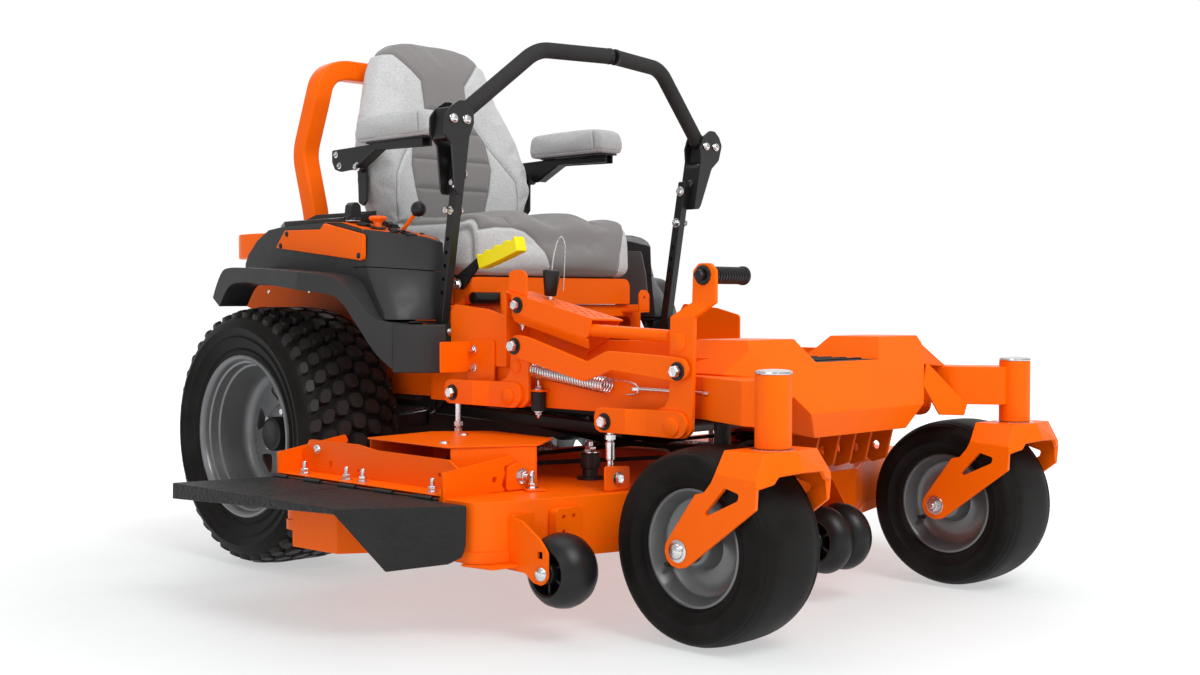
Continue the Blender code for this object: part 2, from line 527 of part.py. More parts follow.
hx, hz = CHUTE_HINGE
piece("chute_bracket", box(-.6640, -.6020, CHUTE_Y0, CHUTE_Y1, DECK_TOP + GAP, .2440), ORANGE, 0.35,
      add=[box(-.6080, -.6020, CHUTE_Y0 + .02, CHUTE_Y1, .2400, .2760)])
flap = [(-.6690, -.893), (-.8500, -.772), (-.8580, -.262), (-.6690, -.310)]
skirt = [(-.6700, .2285), (-.8500, .2285), (-.8500, .195), (-.7800, .122), (-.6700, .135)]
lip = [(-.8500, -.772), (-.8580, -.262), (-.8510, -.262), (-.8430, -.768)]
front_edge = lambda p: (0, (-.6690 - p.x) * (.121 / .181), 0)
piece("chute_flap", prism("z", flap, .2220, .2290), BLACK, 0.75, origin=(hx, -.55, hz),
      add=[warp(prism("y", skirt, -.8930, -.8860), front_edge), prism("z", lip, .1950, .2285)])

# ---------------------------------------------------------------- deck lift
fy, fz = LIFT_F
ped = [(-.930, .340), (-.930, .370), (-1.065, .386), (-1.086, .450), (-1.094, .520), (-1.129, .582), (-1.129, .634),
       (-1.167, .634), (-1.167, .577), (-1.130, .505), (-1.124, .450), (-1.112, .338)]
arm_f = [(-.930, .340), (-.930, .370), (-1.080, .376), (-1.112, .360), (-1.108, .336)]
piece("lift_pedal", prism("x", ped, -LIFT_X1, -LIFT_X0), ORANGE, 0.35, origin=(0, fy, fz),
      add=[cyl((-LIFT_X0 - .002, fy, fz), (LIFT_X0 + .002, fy, fz), .0120, 16), prism("x", arm_f, LIFT_X0, LIFT_X1),
           cyl((-LIFT_X0 - .002, -1.148, .617), (-.262, -1.148, .617), .0150, 16)])
ry, rz = LIFT_R
crank = [(-.510, .374), (-.510, .404), (-.640, .412), (-.668, .498), (-.704, .498), (-.700, .430), (-.694, .370), (-.650, .366)]
arm_r = [(-.510, .374), (-.510, .404), (-.655, .410), (-.694, .398), (-.690, .368), (-.650, .366)]
piece("lift_rear_crank", prism("x", crank, -LIFT_X1, -LIFT_X0), ORANGE, 0.35, origin=(0, ry, rz),
      add=[cyl((-LIFT_X0 - .002, ry, rz), (LIFT_X0 + .002, ry, rz), .0120, 16), prism("x", arm_r, LIFT_X0, LIFT_X1)])
a, b = Vector((0, *LINK_F)), Vector((0, *LINK_R))
d = (b - a).normalized()
nrm = Vector((0, -d.z, d.y)) * .0150
e = d * .0180
link = [(p.y, p.z) for p in (a - e - nrm, b + e - nrm, b + e + nrm, a - e + nrm)]
piece("lift_link", prism("x", link, -.3845, -.3765), ORANGE, 0.35, origin=(-.38, *LINK_F))
for end, (y, z) in (("front", ARM_F), ("rear", ARM_R)):
    piece("hanger_%s_right" % end, cyl((-ROD_X, y, DECK_TOP + GAP), (-ROD_X, y, z + .016), .0060, 14), STEEL, 0.3, 1.0,
          add=[cyl((-ROD_X - .0060, y, z), (-ROD_X + .0060, y, z), .0140, 16)])

hp = [(-.620, .4410), (-.620, .583), (-.720, .5715), (-.838, .545), (-.893, .538), (-.893, .530), (-.800, .500), (-.800, .4410)]
piece("height_plate", prism("x", hp, -.3600, -.3000), ORANGE, 0.35,
      cut=[cyl(along(HPIN, HPIN_DIR, -.060), along(HPIN, HPIN_DIR, .060), .0062, 16), box(-.3500, -.2900, -.790, -.630, .4300, .5400)])
piece("height_pin", cyl(along(HPIN, HPIN_DIR, .003), along(HPIN, HPIN_DIR, .053), .0090, 16, .0150), BLACK, 0.5, origin=HPIN,
      add=[cyl(along(HPIN, HPIN_DIR, -.045), along(HPIN, HPIN_DIR, .008), .0050, 14)])
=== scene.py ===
"""Looks of the zero turn mower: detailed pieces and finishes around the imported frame."""
import random
import bpy
import bmesh
import numpy as np
from math import cos, sin, pi, radians, tan, atan2, sqrt, exp
from mathutils import Matrix, Vector as V
from mathutils.bvhtree import BVHTree
from mathutils.geometry import tessellate_polygon


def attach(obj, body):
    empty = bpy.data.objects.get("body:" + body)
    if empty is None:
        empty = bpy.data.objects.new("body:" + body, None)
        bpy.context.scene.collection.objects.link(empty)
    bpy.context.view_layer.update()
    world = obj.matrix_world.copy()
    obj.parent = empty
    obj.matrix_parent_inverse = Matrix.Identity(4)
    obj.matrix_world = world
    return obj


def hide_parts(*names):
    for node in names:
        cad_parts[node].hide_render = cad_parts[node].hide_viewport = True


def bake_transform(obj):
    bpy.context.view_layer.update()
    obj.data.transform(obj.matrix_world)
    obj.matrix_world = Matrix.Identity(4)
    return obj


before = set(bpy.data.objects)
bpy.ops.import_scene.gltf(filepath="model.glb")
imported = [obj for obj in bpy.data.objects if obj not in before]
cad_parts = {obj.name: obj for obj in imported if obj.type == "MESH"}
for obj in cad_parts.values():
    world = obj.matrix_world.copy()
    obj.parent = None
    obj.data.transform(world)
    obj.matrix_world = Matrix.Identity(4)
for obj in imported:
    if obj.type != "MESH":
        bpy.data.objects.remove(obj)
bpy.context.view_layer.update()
OFF = V((0.0990, 0.4500, 0.0))        # layout point -> row frame
SIDES = (("right", -1), ("left", 1))
random.seed(7)

# =====================================================================  materials
def node(t, kind, **k):
    n = t.nodes.new(kind)
    for a, v in k.items():
        setattr(n, a, v)
    return n


def ramp(t, fac, lo, hi, p0=0.3, p1=0.7):
    r = node(t, "ShaderNodeValToRGB")
    r.color_ramp.elements[0].position, r.color_ramp.elements[1].position = p0, p1
    r.color_ramp.elements[0].color, r.color_ramp.elements[1].color = (*lo, 1), (*hi, 1)
    t.links.new(fac, r.inputs[0])
    return r.outputs[0]


def noise(t, co, scale, detail=3.0, rough=0.55):
    n = node(t, "ShaderNodeTexNoise")
    n.inputs["Scale"].default_value = scale
    n.inputs["Detail"].default_value = detail
    n.inputs["Roughness"].default_value = rough
    t.links.new(co, n.inputs["Vector"])
    return n.outputs["Fac"]


def voronoi(t, co, scale, feature="F1"):
    n = node(t, "ShaderNodeTexVoronoi", feature=feature)
    n.inputs["Scale"].default_value = scale
    t.links.new(co, n.inputs["Vector"])
    return n.outputs["Distance"]


def scaled(t, co, s):
    m = node(t, "ShaderNodeMapping")
    m.inputs["Scale"].default_value = s
    t.links.new(co, m.inputs["Vector"])
    return m.outputs["Vector"]


def math_node(t, op, a, b):
    m = node(t, "ShaderNodeMath", operation=op)
    for i, v in enumerate((a, b)):
        if isinstance(v, (int, float)):
            m.inputs[i].default_value = v
        else:
            t.links.new(v, m.inputs[i])
    return m.outputs[0]


def spread(t, fac, lo, hi):
    m = node(t, "ShaderNodeMapRange")
    m.inputs["From Min"].default_value, m.inputs["From Max"].default_value = 0.25, 0.75
    m.inputs["To Min"].default_value, m.inputs["To Max"].default_value = lo, hi
    t.links.new(fac, m.inputs["Value"])
    return m.outputs["Result"]


def bump(t, bsdf, height, strength, dist, under=None):
    b = node(t, "ShaderNodeBump")
    b.inputs["Strength"].default_value = strength
    b.inputs["Distance"].default_value = dist
    t.links.new(height, b.inputs["Height"])
    if under:
        t.links.new(under, b.inputs["Normal"])
    t.links.new(b.outputs[0], bsdf.inputs["Normal"])
    return b.outputs[0]


def start(name, metal=0.0, spec=0.5, coat=0.0, coat_rough=0.1, sheen=0.0):
    m = bpy.data.materials.new(name)
    m.use_nodes = True
    t = m.node_tree
    b = t.nodes["Principled BSDF"]
    b.inputs["Metallic"].default_value = metal
    b.inputs["Specular IOR Level"].default_value = spec
    b.inputs["Coat Weight"].default_value = coat
    b.inputs["Coat Roughness"].default_value = coat_rough
    b.inputs["Sheen Weight"].default_value = sheen
    co = node(t, "ShaderNodeTexCoord").outputs["Object"]
    return m, t, b, co


def tone(c, k):
    return tuple(min(1.0, max(0.0, x * k)) for x in c)


def paint(name, c, rough, vary=0.05, rv=0.06, peel=0.05, coat=0.35, metal=0.0, spec=0.5, coat_rough=0.12):
    """Powder coat or gloss paint: slow tone drift, fine orange peel."""
    m, t, b, co = start(name, metal, spec, coat, coat_rough)
    slow = noise(t, co, 5.0, 4.0)
    fine = noise(t, co, 60.0, 5.0)
    t.links.new(ramp(t, math_node(t, "ADD", math_node(t, "MULTIPLY", slow, 0.7), math_node(t, "MULTIPLY", fine, 0.3)),
                     tone(c, 1 - vary), tone(c, 1 + vary)), b.inputs["Base Color"])
    t.links.new(spread(t, fine, rough - rv, rough + rv), b.inputs["Roughness"])
    bump(t, b, noise(t, co, 420.0, 2.0), peel, 0.0005)
    m.diffuse_color = (*c, 1)
    return m


def plastic(name, c, rough, grain=0.16, scale=900.0, vary=0.10, spec=0.35):
    """Moulded plastic with a fine leathery grain."""
    m, t, b, co = start(name, spec=spec)
    slow = noise(t, co, 7.0, 4.0)
    t.links.new(ramp(t, slow, tone(c, 1 - vary), tone(c, 1 + vary)), b.inputs["Base Color"])
    t.links.new(spread(t, noise(t, co, 40.0, 4.0), rough - 0.07, rough + 0.07), b.inputs["Roughness"])
    under = bump(t, b, noise(t, co, scale * 0.4, 3.0), grain * 0.6, 0.0006)
    bump(t, b, voronoi(t, co, scale), grain, 0.0004, under)
    return m


def rubber(name, c, rough, dust=0.25, grain=0.2, scale=500.0, spec=0.20, coarse=0.0):
    m, t, b, co = start(name, spec=spec)
    cloud = noise(t, co, 9.0, 6.0, 0.62)
    t.links.new(ramp(t, cloud, c, tuple(x + 0.018 * dust / 0.25 for x in c), 0.42, 0.78), b.inputs["Base Color"])
    t.links.new(spread(t, cloud, rough - 0.08, min(0.98, rough + 0.1)), b.inputs["Roughness"])
    under = bump(t, b, noise(t, co, 95.0, 2.0), coarse, 0.0040) if coarse else None
    bump(t, b, noise(t, co, scale, 4.0), grain, 0.0008, under)
    return m


def metal(name, c, rough, brushed=(1.0, 1.0, 1.0), scratch=0.08, vary=0.12):
    m, t, b, co = start(name, 1.0)
    slow = noise(t, co, 12.0, 5.0)
    t.links.new(ramp(t, slow, tone(c, 1 - vary), tone(c, 1 + vary * 0.5)), b.inputs["Base Color"])
    line = noise(t, scaled(t, co, brushed), 220.0, 4.0)
    t.links.new(spread(t, line, rough - 0.08, rough + 0.1), b.inputs["Roughness"])
    bump(t, b, line, scratch, 0.0004)
    return m


def cast(name, c, rough, met=0.7):
    m, t, b, co = start(name, met)
    t.links.new(ramp(t, noise(t, co, 25.0, 6.0), tone(c, 0.75), tone(c, 1.15)), b.inputs["Base Color"])
    t.links.new(spread(t, noise(t, co, 90.0, 4.0), rough - 0.08, rough + 0.1), b.inputs["Roughness"])
    bump(t, b, noise(t, co, 320.0, 5.0), 0.35, 0.0012)
    return m


def cloth(name, light, dark=None):
    """Heathered woven cover. With two colours the stored panel distance picks between them and darkens the seam."""
    m, t, b, co = start(name, spec=0.25, sheen=0.25)
    b.inputs["Sheen Roughness"].default_value = 0.6
    speck = noise(t, co, 520.0, 2.0, 0.7)
    blotch = noise(t, co, 26.0, 5.0, 0.6)
    both = math_node(t, "ADD", math_node(t, "MULTIPLY", speck, 0.90), math_node(t, "MULTIPLY", blotch, 0.10))

    def shade(c, k):
        return ramp(t, both, tone(c, 1 - k), tone(c, 1 + k * 0.8), 0.36, 0.64)
    colour = shade(light, 0.26)
    if dark:
        at = node(t, "ShaderNodeAttribute", attribute_name="panel")
        mask = node(t, "ShaderNodeMapRange")
        mask.inputs["From Min"].default_value, mask.inputs["From Max"].default_value = -0.0006, 0.0006
        t.links.new(at.outputs["Fac"], mask.inputs["Value"])
        mix = node(t, "ShaderNodeMix", data_type="RGBA")
        t.links.new(mask.outputs["Result"], mix.inputs["Factor"])
        t.links.new(colour, mix.inputs[6])
        t.links.new(shade(dark, 0.10), mix.inputs[7])
        colour = mix.outputs[2]
    at2 = node(t, "ShaderNodeAttribute", attribute_name="seam")
    near = node(t, "ShaderNodeMapRange")
    near.inputs["From Min"].default_value, near.inputs["From Max"].default_value = 0.0004, 0.0032
    near.inputs["To Min"].default_value, near.inputs["To Max"].default_value = 0.62, 0.0
    t.links.new(at2.outputs["Fac"], near.inputs["Value"])
    mix2 = node(t, "ShaderNodeMix", data_type="RGBA")
    mix2.inputs[7].default_value = (0.07, 0.068, 0.066, 1)
    t.links.new(near.outputs["Result"], mix2.inputs["Factor"])
    t.links.new(colour, mix2.inputs[6])
    t.links.new(mix2.outputs[2], b.inputs["Base Color"])
    t.links.new(spread(t, speck, 0.84, 0.97), b.inputs["Roughness"])
    under = bump(t, b, voronoi(t, scaled(t, co, (1.0, 1.0, 0.62)), 760.0), 0.35, 0.0007)
    bump(t, b, speck, 0.30, 0.0006, under)
    return m


ORANGE = (0.945, 0.131, 0.0012)
MAT = {
    "orange_powder_coat": paint("orange_powder_coat", ORANGE, 0.34, 0.035, 0.05, 0.04, 0.0, 0.0, 0.09, 0.25),
    # orange paint toned down to about half: painted shade for the wheel liners and cowl ribs, which sit in shadow
    "orange_painted_shade": paint("orange_painted_shade", tone(ORANGE, 0.48), 0.42, 0.05, 0.05, 0.04, 0.0, 0.0, 0.06, 0.25),
    "black_steel": paint("black_steel", (0.0090, 0.0088, 0.0088), 0.38, 0.15, 0.08, 0.10, 0.0, 0.0, 0.40),
    "charcoal_plastic": plastic("charcoal_plastic", (0.0245, 0.0245, 0.0255), 0.45, spec=0.36),
    # charcoal plastic painted about four times lighter: painted light on the fender inner panels, whose faces sit in
    # the seat's shadow
    "charcoal_painted_light": plastic("charcoal_painted_light", (0.100, 0.100, 0.103), 0.46, spec=0.36),
    "black_plastic": plastic("black_plastic", (0.0065, 0.0065, 0.0068), 0.40, 0.10),
    "tyre_rubber": rubber("tyre_rubber", (0.0066, 0.0056, 0.0051), 0.52, 0.16, spec=0.10),
    # brighter copy of the tyre rubber for the tread lugs: painted light standing in for the sheen of the front light on
    # the tread
    "tread_rubber_painted_light": rubber("tread_rubber_painted_light", (0.0170, 0.0150, 0.0142), 0.46, 0.16, spec=0.22),
    "rim_paint": paint("rim_paint", (0.185, 0.187, 0.192), 0.34, 0.10, 0.07, 0.06, 0.25, 0.50),
    "seat_fabric": cloth("seat_fabric", (0.435, 0.437, 0.441)),
    "seat_two_tone": cloth("seat_two_tone", (0.535, 0.538, 0.542), (0.205, 0.195, 0.191)),
    "foam_grip": rubber("foam_grip", (0.026, 0.025, 0.025), 0.80, 0.12, 0.35, 900.0),
    "flap_rubber": rubber("flap_rubber", (0.013, 0.0125, 0.0122), 0.54, 0.12, 0.75, 260.0, 0.26, 0.95),
    "zinc_steel": metal("zinc_steel", (0.74, 0.74, 0.75), 0.24),
    "cast_alloy": cast("cast_alloy", (0.36, 0.36, 0.37), 0.48),
    "blade_steel": metal("blade_steel", (0.36, 0.36, 0.37), 0.40, (1, 14, 1), 0.2),
    "yellow_grip": plastic("yellow_grip", (0.93, 0.80, 0.004), 0.42, 0.08, 700.0, 0.04),
    "orange_plastic": plastic("orange_plastic", ORANGE, 0.32, 0.05, 800.0, 0.05),
    "belt": rubber("belt", (0.010, 0.010, 0.010), 0.75, 0.15, 0.4, 700.0),
    "engine_black": paint("engine_black", (0.012, 0.012, 0.013), 0.45, 0.2, 0.1, 0.12, 0.0),
    "hot_steel": cast("hot_steel", (0.30, 0.28, 0.26), 0.42, 0.9),
    "dark_cast": cast("dark_cast", (0.030, 0.030, 0.031), 0.46, 0.4),
}

# =====================================================================  mesh tools
def tidy(bm):
    bmesh.ops.remove_doubles(bm, verts=bm.verts[:], dist=1e-6)
    bmesh.ops.recalc_face_normals(bm, faces=bm.faces[:])
    return bm


def at(axis, u, v, a):
    return {"x": (a, u, v), "y": (u, a, v), "z": (u, v, a)}[axis]


def fillet(pts, r, n=4):
    """Outline with rounded corners; r is one radius or one for each corner."""
    out, m = [], len(pts)
    for i in range(m):
        rr = r[i] if isinstance(r, (list, tuple)) else r
        p, a, b = V(pts[i]), V(pts[i - 1]), V(pts[(i + 1) % m])
        da, db = a - p, b - p
        la, lb = da.length, db.length
        if rr <= 0 or la < 1e-7 or lb < 1e-7:
            out.append(tuple(p))
            continue
        da, db = da / la, db / lb
        half = max(0.05, da.angle(db) / 2)
        if half > 1.53:
            out.append(tuple(p))
            continue
        k = min(rr / tan(half), la * 0.48, lb * 0.48)
        s, e = p + da * k, p + db * k
        for j in range(n + 1):
            w = j / n
            out.append(tuple(s * (1 - w) ** 2 + p * 2 * w * (1 - w) + e * w * w))
    return out


def ring2(c, r, n=20, ph=0.0):
    return [(c[0] + r * cos(2 * pi * i / n + ph), c[1] + r * sin(2 * pi * i / n + ph)) for i in range(n)]


def prism(axis, pts, a0, a1, holes=()):
    """Outline across an axis drawn from a0 to a1, with loops left open."""
    bm = bmesh.new()
    loops = [list(pts)] + [list(h) for h in holes]
    flat = [p for l in loops for p in l]
    lo = [bm.verts.new(at(axis, u, v, a0)) for u, v in flat]
    hi = [bm.verts.new(at(axis, u, v, a1)) for u, v in flat]
    if holes:
        for i, j, k in tessellate_polygon([[V((u, v, 0)) for u, v in l] for l in loops]):
            bm.faces.new((lo[i], lo[j], lo[k]))
            bm.faces.new((hi[k], hi[j], hi[i]))
    else:
        bm.faces.new(lo)
        bm.faces.new(list(reversed(hi)))
    at0 = 0
    for l in loops:
        n = len(l)
        for i in range(n):
            a, b = at0 + i, at0 + (i + 1) % n
            bm.faces.new((lo[a], hi[a], hi[b], lo[b]))
        at0 += n
    return tidy(bm)


def box(x0, x1, y0, y1, z0, z1):
    return prism("z", [(x0, y0), (x1, y0), (x1, y1), (x0, y1)], z0, z1)


def basis(d):
    d = V(d).normalized()
    u = V((0, 0, 1)) if abs(d.z) < 0.8 else V((1, 0, 0))
    u = (u - d * u.dot(d)).normalized()
    return d, u, d.cross(u)


def lathe(p, d, prof, n=24, ph=0.0, closed=False):
    """Profile of (radius, along) turned about the line from p along d."""
    p = V(p)
    d, u, w = basis(d)
    bm = bmesh.new()
    rings = []
    for r, a in prof:
        if r < 1e-6:
            rings.append([bm.verts.new(p + d * a)])
        else:
            rings.append([bm.verts.new(p + d * a + (u * cos(2 * pi * i / n + ph) + w * sin(2 * pi * i / n + ph)) * r) for i in range(n)])
    pairs = list(zip(rings, rings[1:]))
    if closed:
        pairs.append((rings[-1], rings[0]))
    else:
        if len(rings[0]) > 1:
            bm.faces.new(rings[0])
        if len(rings[-1]) > 1:
            bm.faces.new(rings[-1])
    for a, b in pairs:
        for i in range(n):
            j = (i + 1) % n
            q = [a[i % len(a)], a[j % len(a)], b[j % len(b)], b[i % len(b)]]
            q = [x for k, x in enumerate(q) if x not in q[:k]]
            if len(q) > 2:
                bm.faces.new(q)
    return tidy(bm)


def rod(p0, p1, r, n=20, r1=None, ch=0.0):
    p0, p1 = V(p0), V(p1)
    l = (p1 - p0).length
    r1 = r if r1 is None else r1
    prof = [(r, 0), (r1, l)] if ch <= 0 else [(r - ch, 0), (r, ch), (r1, l - ch), (r1 - ch, l)]
    return lathe(p0, p1 - p0, prof, n)


def curve_pts(path, rad, k=6):
    """Path with its corners rounded."""
    path = [V(p) for p in path]
    out = [path[0]]
    for i in range(1, len(path) - 1):
        a, p, b = path[i - 1], path[i], path[i + 1]
        la, lb = (a - p).length, (b - p).length
        q = min(rad, la * 0.48, lb * 0.48)
        s, e = p + (a - p) / la * q, p + (b - p) / lb * q
        for j in range(k + 1):
            w = j / k
            out.append(s * (1 - w) ** 2 + p * 2 * w * (1 - w) + e * w * w)
    return out + [path[-1]]


def pipe(path, r, n=16, radii=None, closed_section=None):
    """Round bar along a path, carried without twist."""
    path = [V(p) for p in path]
    m = len(path)
    tang = [(path[min(i + 1, m - 1)] - path[max(i - 1, 0)]).normalized() for i in range(m)]
    _, u, _w = basis(tang[0])
    bm = bmesh.new()
    rings = []
    for i in range(m):
        u = (u - tang[i] * u.dot(tang[i])).normalized()
        w = tang[i].cross(u)
        rr = radii[i] if radii else r
        sec = closed_section or [(cos(2 * pi * k / n), sin(2 * pi * k / n)) for k in range(n)]
        rings.append([bm.verts.new(path[i] + (u * a + w * b) * (rr if not closed_section else 1.0)) for a, b in sec])
    bm.faces.new(rings[0])
    bm.faces.new(rings[-1])
    for a, b in zip(rings, rings[1:]):
        for k in range(len(a)):
            j = (k + 1) % len(a)
            bm.faces.new((a[k], a[j], b[j], b[k]))
    return tidy(bm)


def sweep(path, section, up):
    """Section of (across, up) points carried along a path with mitred corners."""
    path, up = [V(p) for p in path], V(up)
    bm = bmesh.new()
    rings = []
    for i, p in enumerate(path):
        din = (p - path[i - 1]).normalized() if i else None
        dout = (path[i + 1] - p).normalized() if i + 1 < len(path) else None
        a, b = din or dout, dout or din
        t = (a + b).normalized()
        side = a.cross(up).normalized()
        top = side.cross(a)
        ring = []
        for u, v in section:
            q = side * u + top * v
            ring.append(bm.verts.new(p + q - a * (q.dot(t) / a.dot(t))))
        rings.append(ring)
    bm.faces.new(rings[0])
    bm.faces.new(rings[-1])
    for a, b in zip(rings, rings[1:]):
        for k in range(len(section)):
            j = (k + 1) % len(section)
            bm.faces.new((a[k], a[j], b[j], b[k]))
    return tidy(bm)


def round_square(h, r, n=4, v=None):
    v = h if v is None else v
    return fillet([(-h, -v), (h, -v), (h, v), (-h, v)], r, n)


def hull(pts):
    bm = bmesh.new()
    vs = [bm.verts.new(p) for p in pts]
    bmesh.ops.convex_hull(bm, input=vs)
    bmesh.ops.delete(bm, geom=[v for v in bm.verts if not v.link_faces], context="VERTS")
    bmesh.ops.dissolve_limit(bm, angle_limit=radians(1), verts=bm.verts[:], edges=bm.edges[:])
    return tidy(bm)


def faces3(polys):
    """Open surface of polygons that share corners."""
    bm = bmesh.new()
    for poly in polys:
        bm.faces.new([bm.verts.new(p) for p in poly])
    bmesh.ops.remove_doubles(bm, verts=bm.verts[:], dist=4e-4)
    bmesh.ops.recalc_face_normals(bm, faces=bm.faces[:])
    return bm


def join(*bms):
    out = bmesh.new()
    for b in bms:
        me = bpy.data.meshes.new("tmp")
        b.to_mesh(me)
        out.from_mesh(me)
        bpy.data.meshes.remove(me)
        b.free()
    return out


def flip(bm):
    """Mirrored copy about x = 0; the given shape is used up."""
    for v in bm.verts:
        v.co.x = -v.co.x
    bmesh.ops.recalc_face_normals(bm, faces=bm.faces[:])
    return bm


def moved(bm, f):
    for v in bm.verts:
        v.co = V(f(v.co))
    return bm


def raw(name, bm):
    me = bpy.data.meshes.new(name)
    bm.to_mesh(me)
    bm.free()
    o = bpy.data.objects.new(name, me)
    bpy.context.scene.collection.objects.link(o)
    return o


def bake(o):
    dg = bpy.context.evaluated_depsgraph_get()
    me = bpy.data.meshes.new_from_object(o.evaluated_get(dg))
    o.modifiers.clear()
    old = o.data
    o.data = me
    bpy.data.meshes.remove(old)
    return o


def cut_with(o, tools, op="DIFFERENCE"):
    made = []
    for i, b in enumerate(tools):
        tool = raw("%s_tool%d" % (o.name, i), b)
        made.append(tool)
        m = o.modifiers.new("b%d" % i, "BOOLEAN")
        m.operation, m.solver, m.object = op, "EXACT", tool
    bpy.context.view_layer.update()
    bake(o)
    for tool in made:
        me = tool.data
        bpy.data.objects.remove(tool)
        bpy.data.meshes.remove(me)


def put(name, bm, body, mat, rep=(), bevel=0.0015, seg=2, angle=30, cut=(), groove=(), solid=0.0, sharp=38):
    """Adds a piece drawn in the layout frame: cut, thicken, round the edges, groove, then ride."""
    o = raw(name, bm)
    o.data.materials.append(MAT[mat])
    if cut:
        cut_with(o, cut)
    if solid:
        m = o.modifiers.new("solid", "SOLIDIFY")
        m.thickness, m.offset, m.use_even_offset = solid, -1.0, True
    o.data.shade_smooth()
    if bevel:
        m = o.modifiers.new("edge", "BEVEL")
        m.width, m.segments, m.limit_method, m.angle_limit = bevel, seg, "ANGLE", radians(angle)
        m.harden_normals, m.use_clamp_overlap, m.miter_outer = True, True, "MITER_ARC"
    if bevel or solid:
        bake(o)
    if groove:
        cut_with(o, groove)
    if not bevel:
        o.data.shade_smooth()
        o.data.set_sharp_from_angle(angle=radians(sharp))
    o.data.materials.clear()
    o.data.materials.append(MAT[mat])
    o.data.transform(Matrix.Translation(OFF))
    if isinstance(body, tuple):
        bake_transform(o)
    else:
        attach(o, body)
    if rep:
        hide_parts(*rep)
    return o


def ring_stack(sections):
    bm = bmesh.new()
    rings = [[bm.verts.new(p) for p in sec] for sec in sections]
    n = len(rings[0])
    bm.faces.new(rings[0])
    bm.faces.new(rings[-1])
    for a, b in zip(rings, rings[1:]):
        for i in range(n):
            j = (i + 1) % n
            bm.faces.new((a[i], a[j], b[j], b[i]))
    return tidy(bm)


# ---------------------------------------------------------------- fasteners
def hexhead(p, d, r=0.0085, h=0.0065, washer=1.45, wt=0.0018):
    parts = []
    d = V(d).normalized()
    if washer:
        parts.append(lathe(p, d, [(r * washer - .0006, 0), (r * washer, .0005), (r * washer, wt), (r * washer - .0006, wt + .0004)], 24))
    q = V(p) + d * wt
    parts.append(lathe(q, d, [(r, 0), (r, h * .78), (r * .86, h), (r * .55, h), (r * .5, h * .93)], 6, random.random()))
    return join(*parts)


def nut(p, d, r=0.0085, h=0.007, stud=0.006):
    d = V(d).normalized()
    return join(lathe(p, d, [(r * 1.5, 0), (r * 1.5, .0016)], 24),
                lathe(V(p) + d * .0016, d, [(r * .88, 0), (r, h * .16), (r, h * .84), (r * .86, h)], 6, random.random()),
                lathe(V(p) + d * h, d, [(r * .52, 0), (r * .52, stud), (r * .42, stud + .0012)], 14))


def dome(p, d, r=0.009, h=0.005):
    return lathe(p, d, [(r, 0), (r * .98, h * .3), (r * .8, h * .7), (r * .45, h * .94), (0, h)], 24)


def socket(p, d, r=0.006, h=0.005):
    return lathe(p, d, [(r, 0), (r, h * .8), (r * .9, h), (r * .5, h), (r * .48, h * .4), (0, h * .35)], 20)


def coil(p0, p1, r, wire, turns, n=8, k=16):
    p0, p1 = V(p0), V(p1)
    d, u, w = basis(p1 - p0)
    l = (p1 - p0).length
    pts = []
    for i in range(turns * k + 1):
        a = 2 * pi * i / k
        pts.append(p0 + d * (l * i / (turns * k)) + (u * cos(a) + w * sin(a)) * r)
    return pipe(pts, wire, n)


FAST = {}


def bolt(body, bm, finish="zinc_steel"):
    FAST.setdefault((body, finish), []).append(bm)


def yz(s, *pts):
    return list(pts)


def span(s, a, b):
    return (a, b) if s > 0 else (-b, -a)


def sx(s, pts):
    return [(s * x, y) for x, y in pts]


